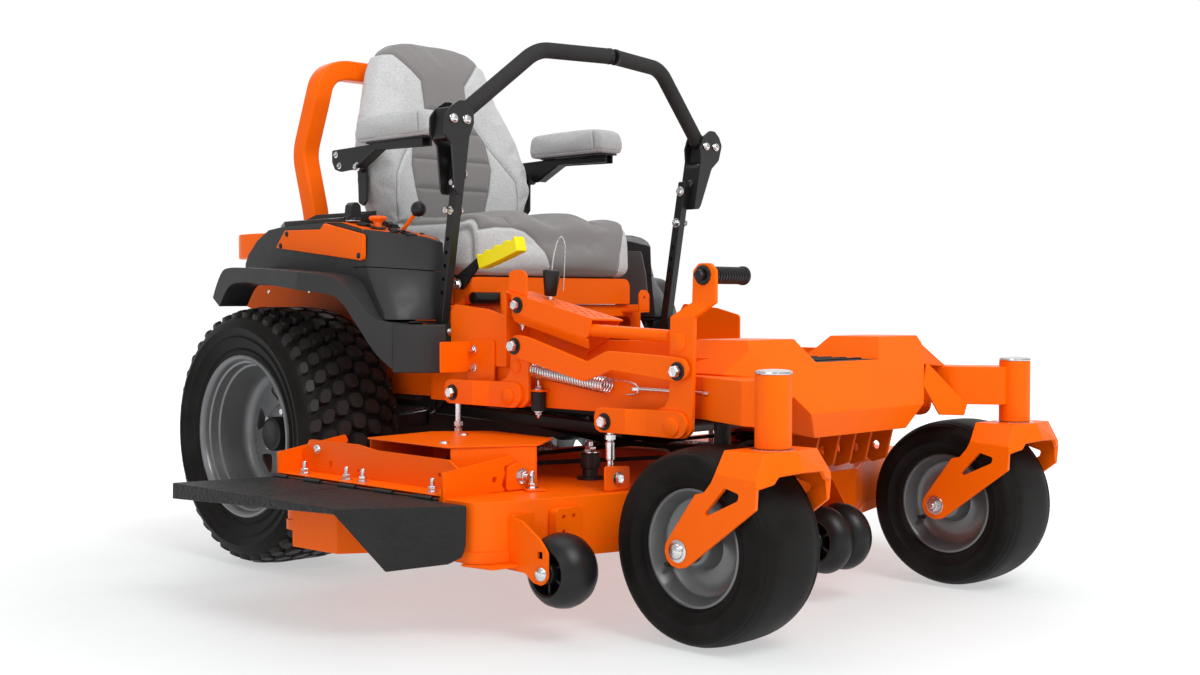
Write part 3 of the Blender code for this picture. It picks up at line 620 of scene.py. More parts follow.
# =====================================================================  frame
RAIL = [(.225, .400), (.275, .400), (.275, -.320), (.340, -.385), (.340, -1.120), (.404, -1.262), (.404, -1.309),
        (.340, -1.309), (.290, -1.225), (.290, -.362), (.225, -.297)]
for side, s in SIDES:
    rail = prism("z", sx(s, fillet(RAIL, [.004, .004, .03, .03, .05, .01, .004, .004, .05, .03, .03], 4)), .366, .440)
    tube = lathe((s * .381, -1.309, 0), (0, 0, 1), [(.0178, .3326), (.030, .3326), (.030, .4516), (.0178, .4516)], 40, closed=True)
    put("frame_rail_%s_skin" % side, join(rail, tube), "chassis", "orange_powder_coat", ["frame_rail_" + side], .0022)
    put("caster_cap_" + side, lathe((s * .381, -1.309, .4516), (0, 0, 1),
        [(.0305, 0), (.0312, .0015), (.0305, .0045), (.0240, .0068), (.0120, .0080), (0, .0084)], 36), "chassis", "zinc_steel", bevel=0)
    # gusset from the arm to the cowl
    g = faces3([[(s * .250, -1.190, .447), (s * .306, -1.246, .366), (s * .300, -1.243, .344), (s * .258, -1.214, .346), (s * .204, -1.2115, .4050)]])
    put("front_gusset_" + side, g, "chassis", "orange_powder_coat", solid=.005, bevel=.0012)
    # side plates bolted outside the rail
    side_plate = fillet([(-.4630, .546), (-.4740, .5615), (-.576, .552), (-.642, .536), (-.642, .4405), (-.4630, .4405)], [.006, .006, .010, .010, .010, .010])
    put("tower_gusset_" + side, prism("x", side_plate, *span(s, .3440, .3490)), "chassis", "orange_powder_coat", bevel=.0012)
    brk = fillet([(-.520, .490), (-.600, .492), (-.600, .392), (-.520, .392)], .008)
    put("fender_bracket_" + side, join(prism("x", brk, *span(s, .3495, .3545)),
        prism("z", sx(s, [(.3495, -.5300), (.354, -.5300), (.424, -.5240), (.424, -.5190), (.354, -.5240), (.3495, -.5245)]), .428, .488)),
        "chassis", "orange_powder_coat", bevel=.0012)
    for z in (.472, .437):
        bolt("chassis", hexhead((s * .3545, -.541, z), (s, 0, 0), .0062, .005))
    # rail inner bush for the lift shafts
    for y, z in ((-.670, .387),):
        bolt("chassis", lathe((s * .3402, y, z), (s, 0, 0), [(.0128, 0), (.022, 0), (.022, .003), (.019, .006), (.0128, .006)], 28, closed=True), "black_plastic")
    # hidden rear cross plate and wheel motor mount
    put("motor_mount_" + side, prism("y", sx(s, fillet([(.150, .366), (.222, .366), (.222, .398), (.150, .398)], .006)), -.105, -.075),
        "chassis", "orange_powder_coat", bevel=.001)

holes = [ring2((x, .405), .016, 24) for x in (-.20, -.10, 0, .10, .20)]
put("front_crossmember_skin", prism("y", fillet([(-.2895, .372), (.2895, .372), (.2895, .438), (-.2895, .438)], .004), -1.165, -1.115, holes),
    "chassis", "orange_powder_coat", ["front_crossmember"], .0015)


# ---------------------------------------------------------------- cowl and floor
def cowl_y(z):
    return -1.233 + .5625 * (z - .372)


def cp(x, z):
    return (x, cowl_y(z), z)


polys = []
front = [(.178, .3725), (.243, .445), (.268, .4845), (.264, .5005), (.132, .5005), (.099, .459)]
ring = [cp(x, z) for x, z in front] + [cp(-x, z) for x, z in reversed(front)]
polys.append(ring)
polys.append([cp(.178, .3725), cp(-.178, .3725), (-.144, -1.215, .327), (.144, -1.215, .327)])
polys.append([(.144, -1.215, .327), (-.144, -1.215, .327), (-.143, -1.160, .3305), (.143, -1.160, .3305)])
for s in (-1, 1):
    A, Bp, D, E, G, H = (cp(s * .132, .5005), cp(s * .264, .5005), cp(s * .268, .4845), cp(s * .243, .445), cp(s * .178, .3725), cp(s * .099, .459))
    A2, B2 = (s * .135, -1.045, .5000), (s * .262, -1.045, .5000)
    polys.append([A, Bp, B2, A2])
    polys.append([A, A2, (s * .099, -1.000, .4525), H])
    polys.append([A2, B2, (s * .284, -.995, .4525), (s * .099, -1.000, .4525)])
    polys.append([Bp, D, (s * .318, -1.150, .4425), (s * .300, -1.020, .4425), B2])
    polys.append([B2, (s * .300, -1.020, .4425), (s * .284, -.995, .4525)])
    polys.append([D, E, (s * .300, -1.206, .4405), (s * .318, -1.150, .4425)])
    polys.append([G, (s * .144, -1.215, .327), (s * .160, -1.165, .336), (s * .196, -1.170, .372)])
    polys.append([E, G, (s * .196, -1.170, .372), (s * .250, -1.150, .4380)])
put("front_cowl", faces3(polys), "chassis", "orange_powder_coat", ["floor_pan"], .0022, 3, 14, solid=.0040)
put("floor_plate", join(box(-.285, .285, -1.1750, -.420, .4415, .4510), box(-.292, -.286, -1.10, -.42, .4405, .470), box(.286, .292, -1.10, -.42, .4405, .470)),
    "chassis", "orange_powder_coat", bevel=.0015)
ribs = [box(-.262, .262, -.985, -.440, .4512, .4560), box(-.095, .095, -1.176, -.985, .4512, .4585)]
for i in range(17):
    y = -.972 + i * .031
    ribs.append(box(-.250, .250, y - .0055, y + .0055, .4555, .4590))
for i in range(5):
    y = -1.150 + i * .034
    ribs.append(box(-.084, .084, y - .0055, y + .0055, .4580, .4615))
put("floor_side_wall", prism("x", fillet([(-.600, .4405), (-1.060, .4405), (-1.060, .478), (-1.020, .496), (-.640, .496), (-.600, .480)], .006), -.2915, -.2875), "chassis", "orange_powder_coat", bevel=.0010)
put("foot_mat", join(*ribs), "chassis", "flap_rubber", bevel=.0012)
# front ribs and tow brackets under the cowl, in the darkened orange paint as painted shade
for i, x in enumerate((-.118, -.056, -.006, .044, .112)):
    put("cowl_rib_%d" % (i + 1), prism("x", fillet([(-1.205, .330), (-1.190, .272), (-1.160, .262), (-1.135, .280), (-1.125, .372), (-1.160, .372)], .006), x, x + .006, [ring2((-1.168, .295), .0085)]),
        "chassis", "orange_painted_shade", bevel=.001)

# ---------------------------------------------------------------- tower, engine plate
put("seat_tower_skin", box(-.288, .288, -.390, .100, .4405, .5595), "chassis", "orange_powder_coat", ["seat_tower"], .004, 3,
    cut=[box(-.284, .284, -.386, .096, .430, .5555)] + [prism("y", fillet([(x - .085, .465), (x + .085, .465), (x + .085, .532), (x - .085, .532)], .018, 5), -.42, -.37) for x in (-.17, .17)])
put("rear_frame_skin", prism("z", fillet([(-.224, -.150), (.224, -.150), (.224, .400), (-.224, .400)], .006), .400, .412,
    [ring2((x, y), .022, 24) for x in (-.16, .16) for y in (-.08, .05)]), "chassis", "orange_powder_coat", ["rear_frame"], .0015)

bar = fillet([(-.010, -.030), (.010, -.030), (.010, .030), (-.010, .030)], .004, 3)
path = curve_pts([(-.30, .20, .70), (-.30, .395, .70), (-.255, .450, .70), (.255, .450, .70), (.30, .395, .70), (.30, .20, .70)], .030, 6)
slots = [prism("y", fillet([(x - .030, .688), (x + .030, .688), (x + .030, .712), (x - .030, .712)], .011, 5), .42, .48) for x in (-.20, -.10, 0, .10, .20)]
put("rear_bumper_skin", sweep(path, bar, (0, 0, 1)), "chassis", "orange_powder_coat", ["rear_bumper"], .0012, groove=slots)
ups = []
for s in (-1, 1):
    ups += [prism("x", fillet([(.405, .4125), (.437, .4125), (.437, .690), (.4405, .700), (.428, .715), (.405, .690)], .004), *span(s, .120, .145))]
put("rear_bumper_posts", join(*ups, prism("y", fillet([(-.222, .4125), (.222, .4125), (.222, .460), (-.222, .460)], .004), .405, .4395, [ring2((x, .436), .010) for x in (-.18, -.06, .06, .18)])),
    "chassis", "orange_powder_coat", bevel=.0018)
for s in (-1, 1):
    for z in (.688, .712):
        bolt("chassis", hexhead((s * .1325, .460, z), (0, 1, 0), .0075))

half = [(-.25, .136, .4410), (-.25, .149, .765), (-.25, .196, .915), (-.25, .141, 1.045), (-.243, .139, 1.078), (-.222, .138, 1.102), (-.190, .137, 1.112)]
hoop = curve_pts(half + [(-x, y, z) for x, y, z in reversed(half)], .030, 5)
put("roll_hoop_skin", sweep(hoop, round_square(.023, .0075, 4), (0, 1, .001)), "chassis", "orange_powder_coat", ["roll_hoop"], bevel=0, sharp=34)
for s in (-1, 1):
    put("hoop_foot_" + ("left" if s > 0 else "right"), join(prism("x", fillet([(.100, .442), (.175, .442), (.182, .600), (.108, .600)], .010), *span(s, .2740, .2795)),
        prism("x", fillet([(.100, .442), (.175, .442), (.182, .600), (.108, .600)], .010), *span(s, .2205, .2260))), "chassis", "orange_powder_coat", bevel=.0012)
    for z in (.485, .560):
        bolt("chassis", hexhead((s * .2795, .142, z), (s, 0, 0), .0095))
    # orange liner behind the drive wheel, in the darkened orange paint as painted shade
    put("wheel_liner_" + ("left" if s > 0 else "right"), prism("x", fillet([(.385, .612), (.385, .560), (.300, .535), (-.06, .535), (-.12, .575), (-.12, .612)], .015, 5), *span(s, .2985, .3035)),
        "chassis", "orange_painted_shade", bevel=.001)
    for y in (-.07, .10, .27):
        bolt("chassis", dome((s * .3035, y, .590), (s, 0, 0), .0046, .0030))

# =====================================================================  fenders and console
ARCH_T = [(.125, .575), (.112, .600), (.092, .628), (.071, .641), (-.018, .639), (-.140, .632), (-.240, .625),
          (-.281, .617), (-.313, .582), (-.345, .538), (-.368, .526), (-.400, .523), (-.402, .422)]
ARCH_B = [(-.386, .428), (-.356, .460), (-.318, .525), (-.287, .573), (-.262, .584), (-.140, .598), (-.009, .609), (.045, .606), (.070, .592), (.098, .556)]
POD = [(.152, .652), (.140, .672), (.104, .702), (.057, .7245), (.013, .729), (-.100, .732), (-.167, .733),
       (-.217, .7320), (-.290, .7160), (-.335, .7085), (-.381, .699), (-.404, .687), (-.404, .530), (-.345, .531), (-.300, .590), (.153, .635)]


def smooth_open(pts, n=3):
    """Corner-cut version of an open outline."""
    for _ in range(n - 1):
        out = [pts[0]]
        for a, b in zip(pts, pts[1:]):
            out.append((a[0] * .75 + b[0] * .25, a[1] * .75 + b[1] * .25))
            out.append((a[0] * .25 + b[0] * .75, a[1] * .25 + b[1] * .75))
        out.append(pts[-1])
        pts = out
    return pts


def offset_open(pts, d):
    out = []
    for i, p in enumerate(pts):
        a, b = V(pts[max(i - 1, 0)]), V(pts[min(i + 1, len(pts) - 1)])
        t = (b - a).normalized()
        out.append((p[0] - t.y * d, p[1] + t.x * d))
    return out


for side, s in SIDES:
    top, bot = smooth_open(ARCH_T, 3), smooth_open(ARCH_B, 3)
    arch = prism("x", top + bot, *span(s, .362, .540))
    knife = [prism("z", sx(s, [(.560, -.170), (.5405, -.205), (.474, -.327), (.456, -.358), (.438, -.381), (.418, -.3945), (.396, -.4015), (.380, -.4040), (.380, -.450), (.700, -.450), (.700, -.170)]), .40, .70), box(*span(s, .350, .470), -.050, .170, .520, .6030)]
    put("fender_arch_" + side, arch, "chassis", "charcoal_plastic", ["fender_" + side], .0055, 3, 40, cut=knife)
    shell = prism("x", POD, *span(s, .320, .440))
    # the front of the pod leans: square across at the foot, swept back at the top
    hi_f = [(.300, -.415), (.323, -.402), (.350, -.386), (.385, -.356), (.418, -.322), (.434, -.303), (.445, -.280), (.470, -.270), (.470, -.450), (.300, -.450)]
    lo_f = [(.300, -.415), (.323, -.405), (.350, -.4035), (.385, -.4000), (.418, -.3920), (.434, -.3800), (.445, -.3600), (.470, -.350), (.470, -.450), (.300, -.450)]
    if s > 0:
        hi_f = [(.300, -.402), (.323, -.388), (.345, -.364), (.385, -.322), (.418, -.283), (.434, -.258), (.445, -.238), (.470, -.228), (.470, -.450), (.300, -.450)]
    mix = lambda w: [tuple(s * a * (1 - w) + s * b * w if k == 0 else a * (1 - w) + b * w for k, (a, b) in enumerate(zip(p, q))) for p, q in zip(hi_f, lo_f)]
    face = ring_stack([[(x, y, z) for x, y in mix(w)] for z, w in ((.80, 0), (.70, 0.0), (.66, .10), (.62, .28), (.58, .58), (.545, .90), (.52, 1.0))])
    line = moved(box(*span(s, .300, .470), -.420, -.2600, .6270, .6290), lambda p: (p.x, p.y, p.z + .08 * (abs(p.x) - .32)))
    put("fender_pod_" + side, shell, "chassis", "charcoal_plastic", (), .0085, 3, 24, cut=[face], groove=[line])
    panel = sx(s, fillet([(.324, .520), (.400, .520), (.400, .428), (.347, .428), (.347, .447), (.324, .447)], .004))
    put("fender_skirt_" + side, join(prism("y", panel, -.3730, -.3670), prism("z", sx(s, fillet([(.322, -.398), (.400, -.398), (.400, -.300), (.322, -.300)], .006)), .5225, .5270),
        prism("z", sx(s, [(.436, -.384), (.430, -.404), (.412, -.430), (.388, -.4510), (.362, -.4640), (.358, -.4600), (.385, -.4460), (.407, -.4270), (.424, -.402), (.428, -.384)]), .4240, .5210)), "chassis", "charcoal_plastic", (), .002)
    # inner wall of the pod, in the lightened charcoal: painted light on a face that sits in shade
    inner = [(.120, .700), (.120, .640), (-.180, .606), (-.300, .548), (-.372, .536), (-.386, .560), (-.378, .630), (-.362, .686)] if s > 0 else [(.120, .700), (.120, .640), (-.30, .630), (-.370, .600), (-.370, .690)]
    put("fender_inner_" + side, prism("x", fillet(inner, .01), *span(s, .3170, .3225)), "chassis", "charcoal_painted_light", (), .0015)
    # raised tray rim on the pod
    if s < 0:
        tray = sx(s, fillet([(.334, -.205), (.428, -.205), (.428, .012), (.400, .070), (.334, .120), (.3335, .022)], [.014, .014, .014, .010, .010, 0], 5))
        hole = sx(s, fillet([(.341, -.197), (.420, -.197), (.420, .006), (.396, .060), (.341, .104), (.3405, .020)], [.011, .011, .011, .008, .008, 0], 5))
        wall = moved(prism("z", tray, .7060, .7420, [hole]), lambda p: (p.x, p.y, p.z + (.0200 * min(1, max(0, (.428 - abs(p.x)) / .094)) - .0260 * max(0, (p.y - .024) / .096) if p.z > .73 else 0)))
        put("console_tray", join(wall, prism("z", sx(s, fillet([(.342, -.196), (.419, -.196), (.419, .000), (.342, .000)], .010, 5)), .7300, .7330)),
            "chassis", "black_plastic", (), .0014)
    else:
        put("filler_collar", lathe((.380, -.030, .7290), (0, 0, 1), [(.030, 0), (.052, 0), (.052, .0025), (.047, .0040), (.030, .0040)], 40, closed=True), "chassis", "black_plastic", bevel=.0006)
        put("cup_ring", lathe((.380, -.170, .7320), (0, 0, 1), [(.036, -.004), (.047, -.004), (.048, .003), (.045, .0065), (.0385, .0065), (.036, .003)], 44, closed=True), "chassis", "black_plastic", bevel=.0006)
        put("cup_floor", lathe((.380, -.170, .7322), (0, 0, 1), [(.0365, 0), (.0365, .0012), (.010, .0016), (0, .0016)], 36), "chassis", "flap_rubber", bevel=0)

panel = [(.016, .684), (-.020, .721), (-.152, .719), (-.167, .731), (-.304, .704), (-.304, .650)]
put("control_panel_skin", prism("x", fillet(panel, [.004, .006, .006, .005, .008, .010]), -.4490, -.4405), "chassis", "orange_powder_coat", ["control_panel"], .0014)
for y, z in ((-.028, .713), (-.004, .688), (-.290, .661)):
    bolt("chassis", dome((-.4490, y, z), (-1, 0, 0), .0062, .0030), "black_plastic")
# orange console top, folded over the pod
ct = [(-.155, .7335), (-.217, .7325), (-.290, .7165), (-.335, .7090), (-.381, .6995), (-.398, .6920)]
ctop = ct + list(reversed(offset_open(ct, .0032)))
put("console_top", prism("x", ctop, -.4400, -.326), "chassis", "orange_powder_coat", (), .0010,
    cut=[prism("z", sx(-1, [(.300, -.416), (.323, -.396), (.418, -.312), (.437, -.293), (.470, -.293), (.470, -.450), (.300, -.450)]), .50, .80)])
bolt("chassis", dome((-.345, -.366, .7057), (0, -.2, 1), .0055, .003), "black_plastic")


def rocker(c, w, l, tilt):
    """Small rocker switch in a bezel."""
    b = [prism("z", fillet([(-w, -l), (w, -l), (w, l), (-w, l)], .003), -.001, .0030),
         prism("x", [(-l * .82, .0030), (-l * .82, .0075), (0, .0048), (l * .82, .0095), (l * .82, .0030)], -w * .72, w * .72)]
    return moved(join(*b), lambda p: (p.x + c[0], p.y + c[1], p.z + c[2] + tilt * p.y))


put("console_switches", join(rocker((-.352, -.192, .7360), .0115, .0135, .02), rocker((-.352, -.232, .7322), .0115, .0135, .20),
    rocker((-.350, -.272, .7235), .0115, .0135, .21), lathe((-.392, -.334, .7105), (0, -.2, 1), [(.010, 0), (.010, .004), (.006, .006), (0, .006)], 24)),
    "chassis", "black_plastic", (), .0006)
put("hour_gauge", join(lathe((-.408, -.252, .7262), (0, -.22, 1), [(.0150, 0), (.0150, .003), (.0135, .0045), (.0128, .0036), (0, .0036)], 32)), "chassis", "black_plastic", bevel=0)
bolt("chassis", lathe((-.410, -.217, .7345), (0, 0, 1), [(.0150, 0), (.0165, .0006), (.0165, .0022), (.0138, .0030)], 32))
bolt("chassis", lathe((-.400, -.290, .7185), (0, -.2, 1), [(.0110, 0), (.0175, .0008), (.0165, .0030), (.0110, .0036)], 32), "black_plastic")
gatep = [(-.300, .7150), (-.368, .7015), (-.368, .7045), (-.334, .7128), (-.300, .7182)]
put("throttle_gate", join(prism("x", gatep, -.3820, -.3762), prism("x", gatep, -.3638, -.3580),
    prism("x", [(-.300, .7150), (-.320, .7110), (-.320, .7150), (-.300, .7182)], -.3763, -.3637),
    prism("x", [(-.352, .7047), (-.368, .7015), (-.368, .7045), (-.352, .7084)], -.3763, -.3637),
    prism("x", [(-.319, .7110), (-.353, .7043), (-.353, .7062), (-.335, .7098), (-.319, .7125)], -.3763, -.3637)), "chassis", "black_plastic", (), .0006)

# knobs that move
put("throttle_lever_skin", pipe(curve_pts([(-.370, -.3365, .7160), (-.370, -.3425, .7200), (-.370, -.384, .753)], .01, 5), .0042, 16),
    "throttle", "orange_powder_coat", ["throttle_lever"], 0)
put("throttle_ball", lathe((-.370, -.3740, .7450), (0, -.78, .62), [(.0060, 0)] + [(.0160 * sin(a), .0165 - .0160 * cos(a)) for a in [radians(x) for x in range(24, 180, 12)]] + [(0, .0325)], 28),
    "throttle", "black_plastic", bevel=0)
put("pto_knob_skin", lathe((-.400, -.290, .7200), (0, 0, 1), [(.0085, 0), (.0085, .008), (.0100, .012), (.0165, .0150), (.0190, .0185), (.0185, .0215), (.0140, .0240), (.006, .0232), (0, .0230)], 36),
    "pto", "orange_plastic", ["pto_knob"], 0)
put("key_knob_skin", join(lathe((-.410, -.217, .7345), (0, 0, 1), [(.0150, 0), (.0165, .003), (.0158, .008), (.0140, .010)], 32),
    prism("y", fillet([(-.4245, .7420), (-.3955, .7420), (-.3985, .7680), (-.4055, .7745), (-.4145, .7745), (-.4215, .7680)], .004), -.2290, -.2050)),
    "key", "black_plastic", ["key_knob"], .0030, 3)
cap = [(.030, 0), (.0375, .002), (.0380, .006), (.0372, .017), (.0335, .0225), (.0220, .0250), (.0160, .0242), (0, .0240)]
ribs = [lathe((.380, -.030, .7325), (0, 0, 1), cap, 48)]
for i in range(24):
    a = 2 * pi * i / 24
    ribs.append(rod((.380 + .0378 * cos(a), -.030 + .0378 * sin(a), .7345), (.380 + .0366 * cos(a), -.030 + .0366 * sin(a), .7495), .0021, 8))
ribs.append(prism("z", fillet([(.350, -.0365), (.410, -.0365), (.410, -.0235), (.350, -.0235)], .005), .7570, .7600))
put("fuel_cap_skin", join(*ribs), "fuel_cap", "black_plastic", ["fuel_cap"], 0)

# brake lever with a finger-grooved grip
lev = fillet([(-.402, .593), (-.405, .619), (-.470, .655), (-.520, .673), (-.524, .655), (-.480, .640), (-.425, .592)], .006)
put("brake_lever_skin", prism("x", lev, -.2880, -.2820), "brake", "black_steel", ["brake_lever"], .0012)
ax = V((0, -.613 + .486, .685 - .648)).normalized()
up = V((0, ax.z, -ax.y))
grip = []
top_e, low_e = [], []
for i in range(41):
    w = i / 40
    c = V((0, -.486, .6480)) + ax * (.122 * w)
    th = .0160 + .0012 * sin(pi * w)
    gr = .0046 * (0.5 - 0.5 * cos(2 * pi * 4 * w)) * (1 if .06 < w < .97 else 0)
    a = c - up * th
    b = c + up * (th - .0015 - gr)
    top_e.append((a.y, a.z))
    low_e.append((b.y, b.z))
put("brake_grip", prism("x", top_e + list(reversed(low_e)), -.2985, -.2715), "brake", "yellow_grip", (), .0042, 3, 40,
    groove=[moved(prism("x", [(0, -.0006), (.14, -.0006), (.14, .0006), (0, .0006)], -.2995, -.2975), lambda p: (p.x, -.486 + ax.y * p.y + up.y * (p.z - .003), .648 + ax.z * p.y + up.z * (p.z - .003)))])
bolt("chassis", hexhead((-.2920, -.418, .603), (-1, 0, 0), .0075))
put("brake_bracket", join(prism("x", fillet([(-.385, .561), (-.440, .585), (-.440, .620), (-.405, .625), (-.385, .612)], .006), -.2780, -.2730),
    box(-.2780, -.2500, -.3895, -.3850, .545, .610)), "chassis", "orange_powder_coat", bevel=.001)

# =====================================================================  engine and drive
blk = hull([(x, y, z) for x in (-.15, .15) for y in (.135, .320) for z in (.4125, .520)] + [(x, y, .5500) for x in (-.11, .11) for y in (.150, .305)])
parts = [blk]
for i in range(6):
    z = .424 + i * .016
    parts.append(prism("z", fillet([(-.156, .128), (.156, .128), (.156, .327), (-.156, .327)], .02), z, z + .004))
put("engine_case", join(*parts), "chassis", "cast_alloy", ["engine_block"], .002)
for side, s in SIDES:
    fins = []
    for i in range(9):
        x = .158 + i * .0078
        fins.append(prism("x", fillet([(.165, .432), (.300, .432), (.300, .545), (.165, .545)], .014), *span(s, x, x + .0034)))
    fins.append(prism("x", fillet([(.180, .445), (.285, .445), (.285, .532), (.180, .532)], .010), *span(s, .150, .228)))
    put("cylinder_head_" + side, join(*fins), "chassis", "cast_alloy", bevel=.0008)
    put("rocker_cover_" + side, hull([(s * x, y, z) for x, y, z in ((.229, .185, .450), (.229, .280, .450), (.229, .280, .528), (.229, .185, .528), (.244, .195, .460), (.244, .270, .460), (.244, .270, .518), (.244, .195, .518))]),
        "chassis", "engine_black", bevel=.003)
    put("plug_lead_" + side, pipe(curve_pts([(s * .236, .232, .529), (s * .240, .225, .560), (s * .200, .200, .585), (s * .150, .190, .590)], .03, 8), .0038, 12), "chassis", "belt", bevel=0)
    # exhaust header
    put("exhaust_pipe_" + side, pipe(curve_pts([(s * .200, .300, .470), (s * .200, .345, .465), (s * .165, .366, .470), (s * .128, .366, .480)], .03, 8), .014, 18), "chassis", "hot_steel", bevel=0)
shroud = [(.150, .5505), (.160, .5530), (.1605, .5700), (.1560, .5740), (.1580, .6450), (.1540, .6620), (.1400, .6740), (.1180, .6790), (.1180, .6840), (.1140, .6900), (.030, .6960), (.024, .7050), (.014, .7080), (0, .7085)]
sl = []
for i in range(28):
    a = 2 * pi * i / 28
    sl.append(moved(box(.045, .105, -.0045, .0045, .680, .705), lambda p, a=a: (p.x * cos(a) - p.y * sin(a), .268 + p.x * sin(a) + p.y * cos(a), p.z)))
vents = join(*sl)
side_v = []
for i in range(18):
    a = 2 * pi * i / 18 + .1
    side_v.append(moved(box(.145, .175, -.0050, .0050, .590, .632), lambda p, a=a: (p.x * cos(a) - p.y * sin(a), .268 + p.x * sin(a) + p.y * cos(a), p.z)))
put("engine_cover", lathe((0, .268, 0), (0, 0, 1), [(r, z) for r, z in shroud], 64), "chassis", "black_plastic", ["engine_shroud"], 0, groove=[vents, join(*side_v)])
put("engine_fan", join(*[moved(box(.020, .108, -.0015, .0015, .655, .676), lambda p, a=2 * pi * i / 14: (p.x * cos(a) - p.y * sin(a) * 1.0, .268 + p.x * sin(a) + p.y * cos(a), p.z + p.y * 3)) for i in range(14)],
    lathe((0, .268, .650), (0, 0, 1), [(.115, 0), (.115, .004), (.03, .006), (0, .006)], 40)), "chassis", "engine_black", bevel=0)
for i in range(6):
    a = 2 * pi * i / 6 + .3
    bolt("chassis", hexhead((.128 * cos(a), .268 + .128 * sin(a), .6772), (0, 0, 1), .0052, .004))
put("oil_filter", lathe((.110, .1280, .480), (0, -1, 0), [(.030, 0), (.034, .003), (.034, .060), (.031, .066), (.020, .068), (0, .068)], 32), "chassis", "engine_black", bevel=0)
put("dipstick_cap", join(pipe(curve_pts([(-.120, .150, .500), (-.140, .115, .540), (-.145, .105, .600)], .03, 6), .0075, 14), lathe((-.145, .105, .600), (0, -.1, 1), [(.010, 0), (.013, .002), (.013, .016), (.010, .019), (0, .019)], 20)), "chassis", "yellow_grip", bevel=0)
muf = [(.020, -.140), (.031, -.138), (.034, -.132), (.034, -.085), (.0355, -.083), (.0355, -.078), (.034, -.076), (.034, .076), (.0355, .078), (.0355, .083), (.034, .085), (.034, .132), (.031, .138), (.020, .140)]
put("muffler_skin", lathe((0, .366, .480), (1, 0, 0), muf, 40), "chassis", "hot_steel", ["muffler"], 0)
put("muffler_outlet", pipe(curve_pts([(.060, .395, .470), (.060, .420, .468), (.085, .432, .452), (.110, .436, .448)], .02, 6), .0125, 18), "chassis", "hot_steel", bevel=0)
guard = [prism("y", fillet([(-.135, .505), (.135, .505), (.135, .530), (-.135, .530)], .006), .340, .3435)]
put("muffler_guard", join(*guard, *[box(x - .004, x + .004, .3435, .402, .5245, .5275) for x in [-.12 + i * .03 for i in range(9)]]), "chassis", "engine_black", bevel=.0008)

for side, s in SIDES:
    body = hull([(s * x, y, z) for x, y, z in ((.150, -.075, .215), (.150, .075, .215), (.150, -.085, .345), (.150, .085, .345), (.282, -.060, .225), (.282, .060, .225), (.282, -.075, .335), (.282, .075, .335),
                                               (.165, -.060, .205), (.165, .060, .205), (.165, -.070, .365), (.165, .070, .365), (.262, -.055, .208), (.262, .055, .208), (.262, -.060, .362), (.262, .060, .362))])
    fin = [prism("x", fillet([(-.088, .222), (.088, .222), (.088, .350), (-.088, .350)], .02), *span(s, .168 + i * .014, .172 + i * .014)) for i in range(7)]
    axle = lathe((s * .278, 0, .278), (s, 0, 0), [(.045, 0), (.042, .010), (.026, .014), (.024, .0310)], 32)
    put("transaxle_case_" + side, join(body, *fin, axle), "chassis", "dark_cast", ["transaxle_" + side], .0018)
    put("drive_pulley_" + side, lathe((s * .186, 0, .3640), (0, 0, 1), [(.008, 0), (.034, 0), (.036, .002), (.024, .008), (.036, .014), (.034, .016), (.008, .016)], 36), "chassis", "engine_black", bevel=0)
    fan = [moved(box(.010, .034, -.001, .001, .381, .390), lambda p, a=2 * pi * i / 9, s=s: (s * .186 + p.x * cos(a) - p.y * sin(a), p.x * sin(a) + p.y * cos(a), p.z + p.y * 2)) for i in range(9)]
    put("drive_fan_" + side, join(lathe((s * .186, 0, .380), (0, 0, 1), [(.012, 0), (.012, .010), (0, .011)], 20), *fan), "chassis", "black_plastic", bevel=0)
    put("oil_canister_" + side, lathe((s * .215, -.110, .215), (0, 0, 1), [(.020, 0), (.027, .004), (.027, .062), (.022, .070), (0, .070)], 28), "chassis", "engine_black", bevel=0)
    for y in (-.05, .05):
        for z in (.240, .325):
            bolt("chassis", hexhead((s * .281, y, z), (s, 0, 0), .0062, .005))
put("clutch", lathe((0, .230, .330), (0, 0, 1), [(.030, 0), (.062, 0), (.066, .004), (.066, .020), (.050, .026), (.064, .034), (.064, .044), (.030, .070)], 44), "chassis", "engine_black", bevel=0)

# =====================================================================  drive wheels
HALF_R = [(.1700, .1050), (.1830, .1085), (.1860, .1120), (.1895, .1090), (.2090, .1165), (.2125, .1205), (.2160, .1178), (.2300, .1215),
          (.2335, .1245), (.2370, .1218), (.2470, .1185), (.2550, .1100), (.2600, .0960), (.2630, .0760), (.2648, .0500), (.2652, .0000)]
XC = .435
rear_prof = [(r, XC + a) for r, a in HALF_R] + [(r, XC - a) for r, a in reversed(HALF_R[:-1])] + [(.1640, XC - .085), (.1640, XC + .085)]


def base_r(a):
    """Tread radius of the drive tyre at a distance from its middle."""
    rows = [(x, r) for r, x in HALF_R[11:]]
    rows.sort()
    return float(np.interp(abs(a), [x for x, _ in rows], [r for _, r in rows]))


def lug(bm, s, a, ang, la, lt, h, skew):
    n = 10
    low, top = [], []
    for i in range(n):
        t = 2 * pi * i / n
        cu, cv = cos(t), sin(t)
        cu = abs(cu) ** .75 * (1 if cu > 0 else -1)
        cv = abs(cv) ** .75 * (1 if cv > 0 else -1)
        for ring, k, up in ((low, 1.0, -.002), (top, .80, h)):
            x = a + la * k * cu + skew * lt * k * cv
            r = base_r(x) + up
            r = min(r, .2780)
            w = ang + (lt * k * cv) / .27
            ring.append(bm.verts.new((s * (XC + x), r * sin(w), .278 - r * cos(w))))
    bm.faces.new(top)
    bm.faces.new(low)
    for i in range(n):
        j = (i + 1) % n
        bm.faces.new((low[i], low[j], top[j], top[i]))


